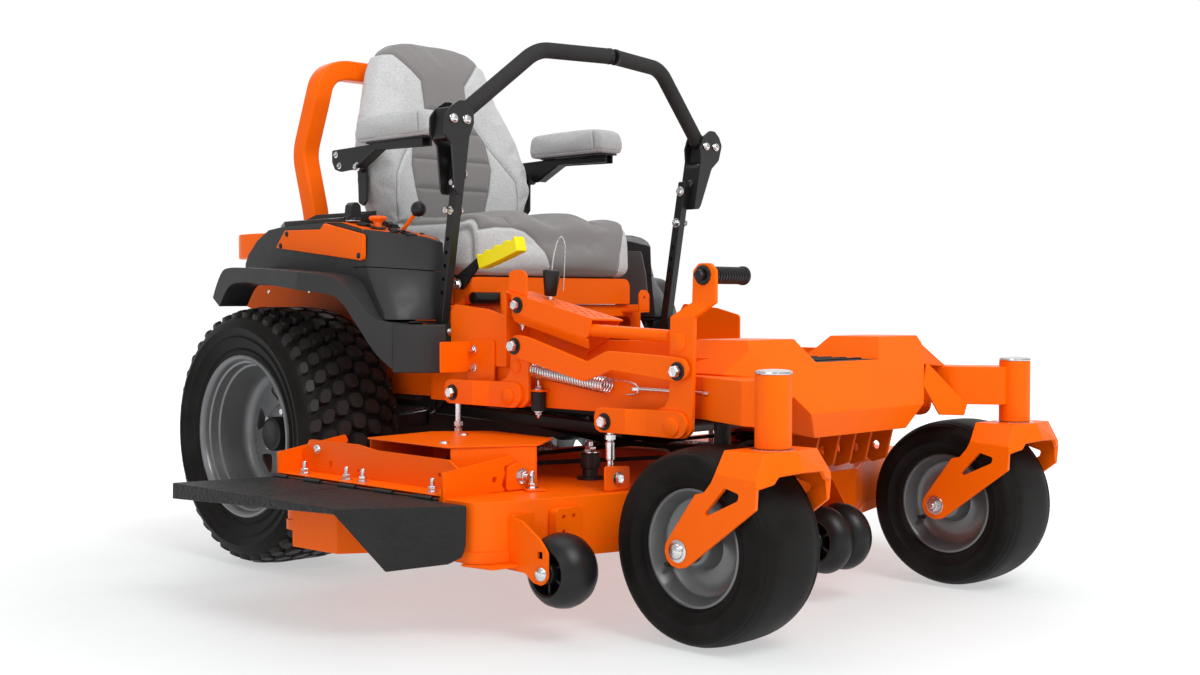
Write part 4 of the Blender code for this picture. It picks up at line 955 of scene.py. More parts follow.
for side, s in SIDES:
    hub = (0, 0, .278)
    carcass = lathe(hub, (s, 0, 0), rear_prof, 96, closed=True)
    lugs = bmesh.new()
    N = 40
    for i in range(N):
        w = 2 * pi * i / N
        p = 2 * pi / N
        for a, sh, la, lt, h, sk in ((0.0, 0.0, .0190, .0196, .0120, 0.0), (.038, .34, .0182, .0192, .0125, .25), (-.038, .34, .0182, .0192, .0125, -.25),
                                     (.0725, .70, .0160, .0184, .0115, .35), (-.0725, .70, .0160, .0184, .0115, -.35),
                                     (.0995, .10, .0108, .0160, .0095, .2), (-.0995, .10, .0108, .0160, .0095, -.2)):
            lug(lugs, s, a, w + sh * p, la, lt, h, sk)
    bmesh.ops.recalc_face_normals(lugs, faces=lugs.faces[:])
    put("rear_tyre_%s_skin" % side, carcass, "rear_wheel_" + side, "tyre_rubber", ["rear_tyre_" + side], 0, sharp=30)
    # tread lugs in the brighter rubber: painted light on the tread; the carcass keeps the darker tyre rubber
    put("rear_tread_" + side, lugs, "rear_wheel_" + side, "tread_rubber_painted_light", (), 0, sharp=30)
    rim = [(.1740, .5380), (.1755, .5420), (.1735, .5460), (.1690, .5470), (.1648, .5440), (.1622, .5360), (.1612, .5300), (.1572, .5275), (.1555, .5160), (.1542, .5105), (.1502, .5080), (.1485, .4990),
           (.1440, .4600), (.1405, .4470), (.1330, .4410), (.1200, .4390), (.1200, .4338), (.1340, .4350), (.1450, .4400), (.1500, .4560), (.1530, .4800), (.1530, .3560), (.1650, .3300), (.1710, .3260), (.1755, .3290),
           (.1740, .3330), (.1690, .3360), (.1590, .3600), (.1590, .5200), (.1640, .5350)]
    put("rear_rim_%s_skin" % side, lathe(hub, (s, 0, 0), rim, 80, closed=True), "rear_wheel_" + side, "rim_paint", ["rear_rim_" + side], 0, sharp=40)
    vents = []
    for i in range(6):
        a = 2 * pi * i / 6 + .26
        tri = []
        for r, da in ((.115, -.31), (.115, .31), (.069, .0)):
            tri.append((r * cos(a + da), .278 + r * sin(a + da)))
        vents.append(fillet(tri, .011, 6))
    put("rear_disc_" + side, join(prism("x", ring2((0, .278), .1235, 72), *span(s, .4340, .4392), vents),
        lathe((0, 0, .278), (s, 0, 0), [(.066, .4390), (.062, .4450), (.056, .4470), (.040, .4470), (.030, .4470)], 48)), "rear_wheel_" + side, "rim_paint", (), .0012)
    put("rear_hub_" + side, lathe(hub, (s, 0, 0), [(.026, .3120), (.058, .3120), (.060, .3160), (.060, .3800), (.072, .4000), (.072, .4335), (.026, .4335)], 40),
        "rear_wheel_" + side, "engine_black", bevel=0)
    put("hub_cap_" + side, lathe(hub, (s, 0, 0), [(.0360, .4465), (.0375, .4480), (.0372, .4680), (.0355, .4725), (.0300, .4750), (.0280, .4738), (0, .4738)], 40),
        "rear_wheel_" + side, "black_plastic", bevel=0)
    for i in range(5):
        a = 2 * pi * i / 5 + .6
        bolt("rear_wheel_" + side, hexhead((s * .4470, .0505 * cos(a), .278 + .0505 * sin(a)), (s, 0, 0), .0078, .0085, 0))
    va = 2.2
    bolt("rear_wheel_" + side, join(rod((s * .470, .139 * cos(va), .278 + .139 * sin(va)), (s * .505, .132 * cos(va), .278 + .132 * sin(va)), .0052, 14, .0042, .0006)), "black_plastic")

# =====================================================================  casters
HALF_C = [(.0945, .0560), (.1010, .0650), (.1035, .0690), (.1065, .0685), (.1200, .0762), (.1228, .0793), (.1262, .0782), (.1400, .0816), (.1480, .0806),
          (.1540, .0762), (.1565, .0716), (.1560, .0690), (.1595, .0640), (.1592, .0612), (.1620, .0550), (.1638, .0420), (.1648, .0250), (.1650, .0)]
cast_prof = HALF_C + [(r, -a) for r, a in reversed(HALF_C[:-1])] + [(.0900, -.040), (.0900, .040)]
HALF_RIM = [(.0962, .0545), (.0990, .0580), (.0982, .0620), (.0945, .0630), (.0915, .0600), (.0895, .0500), (.0865, .0470), (.0845, .0340), (.0815, .0310), (.0700, .0262),
            (.0480, .0250), (.0390, .0300), (.0340, .0480), (.0300, .0600), (.0255, .0630), (.0100, .0630)]
crim_prof = HALF_RIM + [(r, -a) for r, a in reversed(HALF_RIM)] + [(.0900, -.0480), (.0900, .0480)]
for side, s in SIDES:
    cx = s * .381
    hub = (cx, -1.192, .165)
    put("caster_tyre_%s_skin" % side, lathe(hub, (1, 0, 0), cast_prof, 88, closed=True), "caster_wheel_" + side, "tyre_rubber", ["caster_tyre_" + side], 0, sharp=42)
    put("caster_rim_%s_skin" % side, lathe(hub, (1, 0, 0), crim_prof, 64, closed=True), "caster_wheel_" + side, "rim_paint", ["caster_rim_" + side], 0, sharp=40)
    for q in (-1, 1):
        bolt("caster_wheel_" + side, lathe((cx + q * .0630, -1.192, .165), (q, 0, 0), [(.0095, 0), (.0235, 0), (.0235, .003), (.0150, .004), (.0150, .0075), (.0095, .0075)], 28, closed=True), "black_plastic")
        va = -.5
        bolt("caster_wheel_" + side, rod((cx + q * .030, -1.192 + .078 * cos(va), .165 + .078 * sin(va)), (cx + q * .056, -1.192 + .072 * cos(va), .165 + .072 * sin(va)), .0048, 12, .004, .0005), "black_plastic")
    polys = [[(cx + .066, -1.2620, .3310), (cx + .068, -1.3460, .3310), (cx, -1.3570, .3310), (cx - .068, -1.3460, .3310), (cx - .066, -1.2620, .3310)]]
    for q in (-1, 1):
        T1, T2, T3 = (cx + q * .066, -1.2620, .3310), (cx + q * .068, -1.3460, .3310), (cx, -1.3570, .3310)
        L1, L2 = (cx + q * .097, -1.2680, .2960), (cx + q * .097, -1.3520, .2910)
        F6 = (cx + q * .097, -1.3530, .2780)
        polys.append([T1, T2, L2, L1])
        polys.append([T2, T3, (cx, -1.3715, .2990), (cx + q * .056, -1.3660, .2965), (cx + q * .066, -1.3645, .2850), F6, L2])
        low = [(-1.3500, .2460), (-1.2160, .1455), (-1.2040, .1385), (-1.1900, .1365), (-1.1760, .1400), (-1.1660, .1490), (-1.1620, .1610), (-1.1640, .1740),
               (-1.1740, .1890), (-1.2270, .2600), (-1.2450, .2640), (-1.2600, .2810)]
        polys.append([L2, F6] + [(cx + q * .097, y, z) for y, z in low] + [L1])
    tri = fillet([(-1.2890, .2760), (-1.3190, .2680), (-1.3150, .2570), (-1.2520, .2275), (-1.2480, .2320)], [.006, .006, .006, .004, .004], 4)
    put("caster_fork_%s_skin" % side, faces3(polys), "caster_" + side, "orange_powder_coat", ["caster_fork_" + side], .0016, 2, 16, solid=.0075,
        groove=[prism("x", tri, cx - .120, cx - .070), prism("x", tri, cx + .070, cx + .120)])
    put("caster_crown_" + side, lathe((cx, -1.309, 0), (0, 0, 1), [(.012, .3120), (.0300, .3120), (.0300, .3200), (.0360, .3215), (.0360, .3318), (.0290, .3324), (.0162, .3324), (.0162, .4480), (.012, .4480)], 40),
        "caster_" + side, "zinc_steel", bevel=0)
    for q in (-1, 1):
        bolt("caster_" + side, join(lathe((cx + q * .0972, -1.192, .165), (q, 0, 0), [(.0185, 0), (.0185, .0022), (.0175, .0028)], 30),
             dome((cx + q * .0998, -1.192, .165), (q, 0, 0), .0135, .0085) if q * s > 0 else nut((cx + q * .0995, -1.192, .165), (q, 0, 0), .0120, .0095, .004)))
    bolt("caster_" + side, rod((cx - .0890, -1.192, .165), (cx + .0890, -1.192, .165), .0080, 18))

# =====================================================================  lap bars
def lap_y(z):
    return -.4275 - .176 * (z - .543)


CHEEK = [(.349, .781), (.364, .782), (.370, .790), (.391, .876), (.412, .896), (.416, .930), (.403, .948), (.385, .961), (.368, .962), (.346, .946), (.341, .920), (.349, .893)]
for side, s in SIDES:
    base, arm = "lap_base_" + side, "lap_bar_" + side
    y, z = -.421, .468
    ear = sx(s, fillet([(.322, .466), (.358, .466), (.358, .522), (.322, .522)], [.002, .002, .010, .010]))
    boss = lathe((s * .2885, y, z), (s, 0, 0), [(.0165, 0), (.0180, .0015), (.0180, .0760), (.0165, .0775)], 32)
    web = box(*span(s, .322, .358), y - .0250, y + .0250, .4600, .4800)
    put("lap_pivot_%s_skin" % side, join(boss, web, prism("y", ear, y - .0260, y - .0200), prism("y", ear, y + .0200, y + .0260)), base, "black_steel", ["lap_pivot_" + side], .0012)
    bolt(base, dome((s * .339, y - .0260, .505), (0, -1, 0), .0076, .0036))
    bolt(base, nut((s * .339, y + .0260, .505), (0, 1, 0), .0078))
    bolt(base, hexhead((s * .366, y, z), (s, 0, 0), .0095))
    b0, b1 = lap_y(.4930), lap_y(.8450)
    h = .0105
    bar = prism("x", [(b0 - h, .4930), (b0 + h, .4930), (b1 + h, .8450), (b1 - h, .8450)], *span(s, .3290, .3490))
    drill = [rod((s * .30, lap_y(zz), zz), (s * .38, lap_y(zz), zz), .0044, 16) for zz in (.585, .612, .639, .666, .693)]
    drill += [rod((s * .339, lap_y(.505) - .04, .505), (s * .339, lap_y(.505) + .04, .505), .0060, 16)]
    put("lap_lever_" + side, bar, arm, "black_steel", ["lap_arm_" + side], .0016, groove=drill)
    rake = lambda p: (p.x, p.y - .176 * (p.z - .781), p.z)
    plate = fillet(CHEEK, [.004, .003, .006, .012, .012, .014, .014, .012, .012, .014, .014, .012], 4)
    web_hole = ring2((-.478, .842), .0085, 20)
    put("lap_yoke_" + side, moved(join(prism("y", sx(s, plate), -.5030, -.4980), prism("y", sx(s, plate), -.4580, -.4530),
        prism("x", [(-.5010, .781), (-.4550, .781), (-.4550, .877), (-.5010, .877)], *span(s, .3485, .3545), [web_hole])), rake), arm, "black_steel", (), .0011)
    clamp = prism("y", sx(s, fillet([(.3555, .886), (.4060, .886), (.4060, .948), (.3555, .948)], .006)), -.4974, -.4586)
    put("lap_clamp_" + side, moved(clamp, rake), arm, "black_plastic", (), .0018)
    for x in (.361, .394):
        yb = -.5030 - .176 * (.927 - .781)
        bolt(arm, join(lathe((s * x, yb, .927), (0, -1, .176), [(.0105, 0), (.0105, .0012), (.0100, .0016)], 28), dome((s * x, yb - .0015, .927), (0, -1, .176), .0090, .0050)))
        yr = -.4530 - .176 * (.927 - .781)
        bolt(arm, nut((s * x, yr, .927), (0, 1, -.176), .0078, .007, .005))
    bolt(arm, join(lathe((s * .3490, lap_y(.750), .750), (s, 0, 0), [(.0085, 0), (.0085, .0015)], 24), rod((s * .3500, lap_y(.750), .750), (s * .3570, lap_y(.750), .750), .0052, 16),
                   hexhead((s * .3570, lap_y(.750), .750), (s, 0, 0), .0080, .006, 0)))
    bolt(arm, nut((s * .3290, lap_y(.750), .750), (-s, 0, 0), .0074, .006, .004))
    bolt(arm, hexhead((s * .3290, lap_y(.823), .823), (-s, 0, 0), .0080))
    bolt(arm, hexhead((s * .3545, -.4800, .805), (s, 0, 0), .0070))
    path = curve_pts([(s * .3720, -.5008, .9240), (s * .1970, -.5400, 1.0720), (s * .1700, -.5440, 1.0830), (s * .0070, -.5760, 1.0850)], .055, 10)
    put("lap_grip_" + side, pipe(path, .0165, 28), arm, "foam_grip", ["lap_handle_" + side], 0)
    put("grip_plug_" + side, lathe((s * .0072, -.5760, 1.0850), (-s, -.01, 0), [(.0158, -.006), (.0172, -.004), (.0172, .0002), (.0150, .0020), (0, .0022)], 28), arm, "black_plastic", bevel=0)
    put("grip_collar_" + side, lathe((s * .3560, -.5044, .9375), (-s * .745, -.167, .630), [(.0168, -.006), (.0182, -.004), (.0182, .006), (.0168, .008)], 28), arm, "black_plastic", bevel=0)

# =====================================================================  seat
def from_row(o):
    """Vertices of a mesh object as an array in the layout frame."""
    co = np.zeros(len(o.data.vertices) * 3)
    o.data.vertices.foreach_get("co", co)
    return co.reshape(-1, 3)


def normals(o):
    no = np.zeros(len(o.data.vertices) * 3)
    o.data.vertices.foreach_get("normal", no)
    return no.reshape(-1, 3)


def to_row(o, co):
    o.data.vertices.foreach_set("co", np.asarray(co, np.float32).ravel())
    o.data.update()


def puff(o, voxel, pressure, cap, hold):
    """Voxel skin, inflated as cloth; points where hold is true stay put and no point moves more than cap."""
    m = o.modifiers.new("skin", "REMESH")
    m.mode, m.voxel_size = "VOXEL", voxel
    bpy.context.view_layer.update()
    bake(o)
    m = o.modifiers.new("even", "SMOOTH")
    m.factor, m.iterations = .5, 4
    bpy.context.view_layer.update()
    bake(o)
    rest = from_row(o)
    g = o.vertex_groups.new(name="hold")
    idx = [int(i) for i in np.nonzero(hold(rest))[0]]
    if idx:
        g.add(idx, 1.0, "REPLACE")
    c = o.modifiers.new("cloth", "CLOTH")
    st = c.settings
    st.quality, st.mass = 4, .25
    st.tension_stiffness = st.compression_stiffness = 18
    st.bending_stiffness = 2.0
    st.use_pressure, st.uniform_pressure_force = True, pressure
    st.effector_weights.gravity = 0.0
    st.vertex_group_mass = "hold"
    c.collision_settings.use_collision = False
    c.point_cache.frame_start, c.point_cache.frame_end = 1, 20
    sc = bpy.context.scene
    sc.frame_start, sc.frame_end = 1, 20
    for f in range(1, 21):
        sc.frame_set(f)
    dg = bpy.context.evaluated_depsgraph_get()
    me = bpy.data.meshes.new_from_object(o.evaluated_get(dg))
    now = np.zeros(len(me.vertices) * 3)
    me.vertices.foreach_get("co", now)
    now = now.reshape(-1, 3)
    bpy.data.meshes.remove(me)
    o.modifiers.clear()
    o.vertex_groups.clear()
    sc.frame_set(1)
    d = np.nan_to_num(now - rest)
    l = np.linalg.norm(d, axis=1)
    d *= (np.minimum(l, cap) / np.maximum(l, 1e-9))[:, None]
    to_row(o, rest + d)
    m = o.modifiers.new("fine", "SUBSURF")
    m.levels = m.render_levels = 1
    bpy.context.view_layer.update()
    bake(o)
    return o


def sd_poly(px, pz, poly):
    """Signed distance to a closed outline, positive inside."""
    d = np.full(px.shape, 1e9)
    inside = np.zeros(px.shape, bool)
    n = len(poly)
    for i in range(n):
        ax_, az = poly[i]
        bx, bz = poly[(i + 1) % n]
        ex, ez = bx - ax_, bz - az
        w = np.clip(((px - ax_) * ex + (pz - az) * ez) / (ex * ex + ez * ez + 1e-12), 0, 1)
        d = np.minimum(d, np.hypot(px - ax_ - w * ex, pz - az - w * ez))
        crosses = ((az > pz) != (bz > pz)) & (px < (bx - ax_) * (pz - az) / ((bz - az) if abs(bz - az) > 1e-12 else 1e-12) + ax_)
        inside ^= crosses
    return np.where(inside, d, -d)


def d_line(px, pz, line):
    d = np.full(px.shape, 1e9)
    for (ax_, az), (bx, bz) in zip(line, line[1:]):
        ex, ez = bx - ax_, bz - az
        w = np.clip(((px - ax_) * ex + (pz - az) * ez) / (ex * ex + ez * ez + 1e-12), 0, 1)
        d = np.minimum(d, np.hypot(px - ax_ - w * ex, pz - az - w * ez))
    return d


def dress(o, panel, seam, depth=.0040, width=.0055):
    """Stores the panel and seam distances and sinks the seams into the surface."""
    co, no = from_row(o), normals(o)
    co = co - no * (depth * np.exp(-(seam / width) ** 2))[:, None]
    to_row(o, co)
    for name, val in (("panel", panel), ("seam", seam)):
        a = o.data.attributes.new(name, "FLOAT", "POINT")
        a.data.foreach_set("value", np.asarray(val, np.float32))


def seat_piece(name, o, body, mat, rep):
    o.name = o.data.name = name
    o.data.materials.clear()
    o.data.materials.append(MAT[mat])
    o.data.shade_smooth()
    o.data.transform(Matrix.Translation(OFF))
    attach(o, body)
    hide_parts(*rep)
    return o


put("seat_platform_skin", prism("y", fillet([(-.240, .5605), (.240, .5605), (.240, .6190), (-.240, .6190)], [.004, .004, .022, .022], 6), -.4000, .0600), "seat", "orange_powder_coat", ["seat_platform"], .0030, 3,
    cut=[prism("y", fillet([(-.236, .550), (.236, .550), (.236, .6150), (-.236, .6150)], [0, 0, .018, .018], 5), -.396, .056)])
put("seat_pan", prism("z", fillet([(-.2100, -.3900), (.2100, -.3900), (.2100, -.0200), (-.2100, -.0200)], .03, 5), .6192, .6290), "seat", "black_plastic", bevel=.0030)
for s in (-1, 1):
    put("seat_slide_" + ("left" if s > 0 else "right"), join(box(*span(s, .150, .185), -.390, -.030, .6175, .6215)), "seat", "black_steel", bevel=.001)
# frame behind the backrest
put("seat_back_frame", join(*[pipe(curve_pts([(s * .120, -.060, .624), (s * .120, .020, .630), (s * .120, .058, .672), (s * .116, .066, .720)], .04, 8), .0110, 18) for s in (-1, 1)],
    rod((-.112, .050, .668), (.112, .050, .668), .0095, 16)), "seat", "black_steel", bevel=0)


def back_loop(z, n=72):
    zs = [.640, .700, .780, .840, .905, .964, 1.010, 1.070, 1.124, 1.156, 1.182]
    at_z = lambda vals: float(np.interp(z, zs, vals))
    w = at_z([.186, .206, .228, .241, .244, .233, .215, .192, .173, .157, .116])
    f = at_z([-.060, -.060, -.058, -.055, -.049, -.039, -.028, -.010, .004, .013, .027])
    r = at_z([.030, .044, .056, .066, .076, .084, .088, .0925, .094, .094, .089])
    k = at_z([.66, .66, .66, .70, .76, .82, .89, .96, .98, .98, .95])
    pts = []
    for i in range(n):
        t = 2 * pi * i / n
        c_, s_ = cos(t), sin(t)
        x = w * (abs(c_) ** (.34 if s_ < 0 else .48)) * (1 if c_ > 0 else -1)
        mid_y = (f + r) * .5
        if s_ < 0:
            y = mid_y - (mid_y - f) * abs(s_) ** .36
            dish = .022 * float(np.interp(z, [.62, .70, .80, .98, 1.06, 1.10], [.2, .9, 1.0, .8, .25, .0]))
            y += dish * max(0.0, 1 - (abs(x) / (w * .72)) ** 3) * abs(s_)
            bol_h = .026 * float(np.interp(z, [.70, .80, .86, .92, .98, 1.06], [.1, .75, 1.0, .9, .5, 0]))
            y -= bol_h * exp(-((abs(x) - w * .89) / .040) ** 2) * min(1.0, abs(s_) * 1.6)
        else:
            x *= 1 - (1 - k) * s_ ** .7
            y = mid_y + (r - mid_y) * abs(s_) ** .55
        pts.append((x, y, z))
    return pts


zs = [.644 + i * (1.181 - .644) / 40 for i in range(41)]
sec = [back_loop(z) for z in zs]
top = sec[-1]
cxm, cym = 0.0, sum(p[1] for p in top) / len(top)
for k, dz in ((.72, .008), (.38, .0125)):
    sec.append([(p[0] * k, cym + (p[1] - cym) * k, 1.181 + dz) for p in top])
bot = sec[0]
cyb = sum(p[1] for p in bot) / len(bot)
sec = [[(p[0] * .86, cyb + (p[1] - cyb) * .72, .638) for p in bot]] + sec
back = raw("seat_back_cover", ring_stack(sec))
puff(back, .0060, 4.0, .012, lambda co: co[:, 2] < .648)
# waist above the bolsters: room for the folded armrest pads
co = from_row(back)
lim = np.interp(co[:, 2], [.868, .908, 1.020, 1.060], [.262, .2222, .2222, .262]) - .020
wide = np.abs(co[:, 0])
wide = np.where(wide > lim, lim + .020 * np.tanh((wide - lim) / .020), wide)
wide += .007 * np.exp(-((co[:, 2] - .838) / .032) ** 2) * np.clip((-.040 - co[:, 1]) / .020, 0, 1) * np.clip((wide - .190) / .030, 0, 1)
co[:, 0] = np.sign(co[:, 0]) * wide
to_row(back, co)
co, no = from_row(back), normals(back)
x, y, z = co.T
ax_ = np.abs(x)
head = [(-.40, 1.143), (-.165, 1.147), (-.128, 1.147), (-.088, 1.110), (-.065, 1.086), (-.064, 1.020), (.064, 1.020), (.065, 1.086), (.088, 1.110), (.128, 1.147), (.165, 1.147), (.40, 1.143), (.40, 1.50), (-.40, 1.50)]
mid = [(-.070, .998), (.070, .998), (.088, .978), (.108, .950), (.120, .885), (.111, .833), (.093, .770), (.085, .700), (.085, .560), (-.085, .560), (-.085, .700), (-.093, .770), (-.111, .833), (-.120, .885), (-.108, .950), (-.088, .978)]
d_head, d_mid = sd_poly(x, z, head), sd_poly(x, z, mid)
front = no[:, 1] < -.12
panel = np.where(front, np.maximum(d_head, d_mid), np.where(z > 1.06, z - 1.146, -1.0))
seam = np.where(front, np.minimum(np.abs(d_head), np.abs(d_mid)), np.where(z > 1.06, np.abs(z - 1.146), 1.0))
for zz in (.970, .902, .832):
    seam = np.where(front & (d_mid > 0), np.minimum(seam, np.abs(z - zz)), seam)
bol = d_line(ax_, z, [(.112, .945), (.150, .900), (.180, .858), (.186, .800), (.172, .720)])
seam = np.where(front, np.minimum(seam, bol), seam)
rear = (no[:, 1] > .3) & (ax_ < .2)
seam = np.where(rear, np.minimum(seam, np.abs(sd_poly(x, z, [(-.13, .70), (.13, .70), (.12, 1.05), (-.12, 1.05)]))), seam)
dress(back, panel, seam, .0042, .0055)
seat_piece("backrest", back, "seat", "seat_two_tone", ["seat_back"])


def cushion_top(x, y):
    a = np.abs(x)
    h = .7350 + .0150 * np.exp(-((a - .075) / .042) ** 2) + .0120 * np.exp(-((a - .212) / .032) ** 2) - .004 * np.exp(-(x / .03) ** 2)
    return h + .006 * np.sin((y + .40) * 14) * np.exp(-((a - .08) / .07) ** 2)


def cushion_loop(z, grow, n=72):
    w, y0, y1 = .234 + grow, -.417 - grow, -.078 + grow
    yc, d = (y0 + y1) / 2, (y1 - y0) / 2
    pts = []
    for i in range(n):
        t = 2 * pi * i / n
        c_, s_ = cos(t), sin(t)
        pts.append((w * abs(c_) ** .20 * (1 if c_ > 0 else -1), yc + d * abs(s_) ** .20 * (1 if s_ > 0 else -1), z))
    return pts


sec = [cushion_loop(.6225, -.016), cushion_loop(.628, -.006), cushion_loop(.642, .000), cushion_loop(.655, .000), cushion_loop(.700, .001), cushion_loop(.722, -.001), cushion_loop(.733, -.008), cushion_loop(.7375, -.022)]
cush = raw("seat_cushion_cover", ring_stack(sec))
puff(cush, .0060, 3.0, .008, lambda co: co[:, 2] < .634)
co, no = from_row(cush), normals(cush)
co[:, 0] += .012 * np.clip((co[:, 0] - .130) / .110, 0, 1) - .004 * np.clip((-co[:, 0] - .150) / .090, 0, 1)
up_w = np.clip((co[:, 2] - .690) / .045, 0, 1) ** 2
edge = np.clip((.238 - np.abs(co[:, 0])) / .02, 0, 1) * np.clip((co[:, 1] + .424) / .03, 0, 1) * np.clip((-.070 - co[:, 1]) / .03, 0, 1)
co[:, 2] += up_w * (cushion_top(co[:, 0], co[:, 1]) - .7370) * (.35 + .65 * edge) + up_w * .004
to_row(cush, co)
co, no = from_row(cush), normals(cush)
x, y, z = co.T
patch_r = [(-.40, .55), (-.40, .716), (-.228, .718), (-.180, .7265), (-.129, .7270), (-.098, .7190), (-.070, .7010), (-.048, .6760), (-.036, .6480), (-.034, .55)]
patch_l = [(.40, .55), (.40, .78), (.229, .745), (.207, .715), (.192, .675), (.186, .630), (.186, .55)]
fr = y < -.33
d_r, d_l = sd_poly(x, z, patch_r), sd_poly(x, z, patch_l)
light = np.maximum(-.2200 - x, x - .2270)
light = np.where(fr, np.maximum(np.maximum(light, d_r), d_l), light)
panel = -light
seam = np.abs(light)
seam = np.where(fr & (z < .730) & (x < 0), np.minimum(seam, np.abs(x + .2300)), seam)
topf = (no[:, 2] > .6)
seam = np.where(topf, np.minimum(seam, np.where(y < -.13, d_line(np.abs(x), y, [(.130, -.40), (.145, -.30), (.140, -.10)]), 1.0)), seam)
seam = np.where(no[:, 2] < -.4, 1.0, seam)
dress(cush, panel, seam, .0034, .0050)
seat_piece("seat_cushion_cover", cush, "seat", "seat_two_tone", ["seat_cushion"])

for side, s in SIDES:
    def pad_loop(z, grow, dy=0.0, n=48):
        w, y0, y1 = .0375 + grow, -.3250 - grow + dy, -.0660 + grow - dy * .3
        pts = []
        for i in range(n):
            t = 2 * pi * i / n
            c_, s_ = cos(t), sin(t)
            pts.append((s * .262 + w * abs(c_) ** .22 * (1 if c_ > 0 else -1), (y0 + y1) / 2 + (y1 - y0) / 2 * abs(s_) ** .16 * (1 if s_ > 0 else -1), z))
        return pts
    sec = [pad_loop(.9185, -.005), pad_loop(.9215, -.001), pad_loop(.930, .0005), pad_loop(.945, .0005), pad_loop(.960, -.0005, .004), pad_loop(.9685, -.002, .010), pad_loop(.9745, -.007, .020)]
    pad = raw("armrest_pad_" + side, ring_stack(sec))
    puff(pad, .0045, 4.0, .0040, lambda co: co[:, 2] < .9225)
    co, no = from_row(pad), normals(pad)
    x, y, z = co.T
    seam = np.abs(y + .2960 - .30 * np.clip(z - .945, 0, 1))
    seam = np.minimum(seam, np.where(no[:, 2] < .5, np.abs(z - .9235), 1.0))
    seam = np.where(no[:, 2] < -.5, 1.0, seam)
    dress(pad, np.full(x.shape, -1.0), seam, .0018, .0040)
    seat_piece("armrest_cover_" + side, pad, "arm_" + side, "seat_fabric", ["armrest_" + side])
    arm = fillet([(.061, .913), (.061, .886), (.050, .868), (.028, .862), (-.005, .864), (-.0605, .863), (-.1365, .901), (-.298, .8975), (-.298, .9185), (-.090, .9185), (-.075, .9160)],
                 [.006, .010, .014, .014, .02, .02, .02, .003, .002, .004, .01], 4)
    chan = join(prism("x", arm, *span(s, .2620, .2680)), prism("z", sx(s, fillet([(.234, -.310), (.292, -.310), (.292, -.098), (.234, -.098)], .006)), .9145, .9186),
                prism("x", [(-.1365, .9000), (-.296, .8965), (-.296, .9145), (-.1200, .9145)], *span(s, .2860, .2900)),
                prism("x", [(-.0605, .8640), (-.1365, .9010), (-.1365, .9050), (-.0605, .8700)], *span(s, .2620, .2900)))
    put("armrest_bracket_" + side, chan, "arm_" + side, "black_steel", (), .0011)
    bolt("arm_" + side, hexhead((s * .2680, .043, .902), (s, 0, 0), .0052, .004))
    bolt("arm_" + side, hexhead((s * .2680, .030, .876), (s, 0, 0), .0052, .004))
    bolt("arm_" + side, hexhead((s * .2680, -.037, .869), (s, 0, 0), .0075))
    post = fillet([(-.048, .884), (-.014, .884), (-.018, .790), (-.036, .782), (-.047, .792)], .007, 4)
    put("armrest_post_" + side, join(prism("x", post, *span(s, .2455, .2515)), rod((s * .205, -.020, .845), (s * .2460, -.028, .845), .009, 16),
        lathe((s * .2510, -.037, .869), (s, 0, 0), [(.0115, 0), (.0115, .0108), (.0095, .0110)], 28)), "seat", "black_steel", (), .0012)

# =====================================================================  deck
def offset_loop(pts, d):
    """Closed outline moved outwards by d (inwards when negative)."""
    area = sum(a[0] * b[1] - b[0] * a[1] for a, b in zip(pts, pts[1:] + pts[:1]))
    sg = 1.0 if area > 0 else -1.0
    out, n = [], len(pts)
    for i in range(n):
        p, a, b = V(pts[i]), V(pts[i - 1]), V(pts[(i + 1) % n])
        t0, t1 = (p - a).normalized(), (b - p).normalized()
        n0, n1 = V((t0.y, -t0.x)) * sg, V((t1.y, -t1.x)) * sg
        m = (n0 + n1).normalized()
        out.append(tuple(p + m * (d / max(.4, m.dot(n0)))))
    return out


def hull2(pts):
    """Convex outline round a set of points."""
    pts = sorted(set(pts))
    def half(seq):
        h = []
        for p in seq:
            while len(h) > 1 and (h[-1][0] - h[-2][0]) * (p[1] - h[-2][1]) - (h[-1][1] - h[-2][1]) * (p[0] - h[-2][0]) <= 1e-12:
                h.pop()
            h.append(p)
        return h[:-1]
    return half(pts) + half(list(reversed(pts)))


DECK = [(-.660, -.330), (.660, -.330), (.660, -.906), (.420, -.970), (.300, -1.005), (.220, -1.050), (-.220, -1.050), (-.300, -1.005), (-.420, -.970), (-.660, -.906)]
edge = fillet(DECK, [.030, .030, .045, .060, .040, .030, .030, .040, .060, .045], 6)
SPIN = (("right", -.43, -.62), ("centre", 0.0, -.80), ("left", .43, -.62))
mouth = box(-.720, -.640, -.790, -.380, .100, .2255)
put("deck_shell_skin", prism("z", edge, .1290, .2320), "deck", "orange_powder_coat", ["deck_shell"], .0042, 3, 35,
    cut=[prism("z", offset_loop(edge, -.006), .100, .2260), mouth] + [rod((x, y, .20), (x, y, .25), .030, 32) for _n, x, y in SPIN])
put("deck_skirt_band", prism("z", offset_loop(edge, .0028), .1290, .1480, [offset_loop(edge, -.0002)]), "deck", "orange_powder_coat", (), .0012, cut=[box(-.720, -.640, -.790, -.380, .100, .2255)])
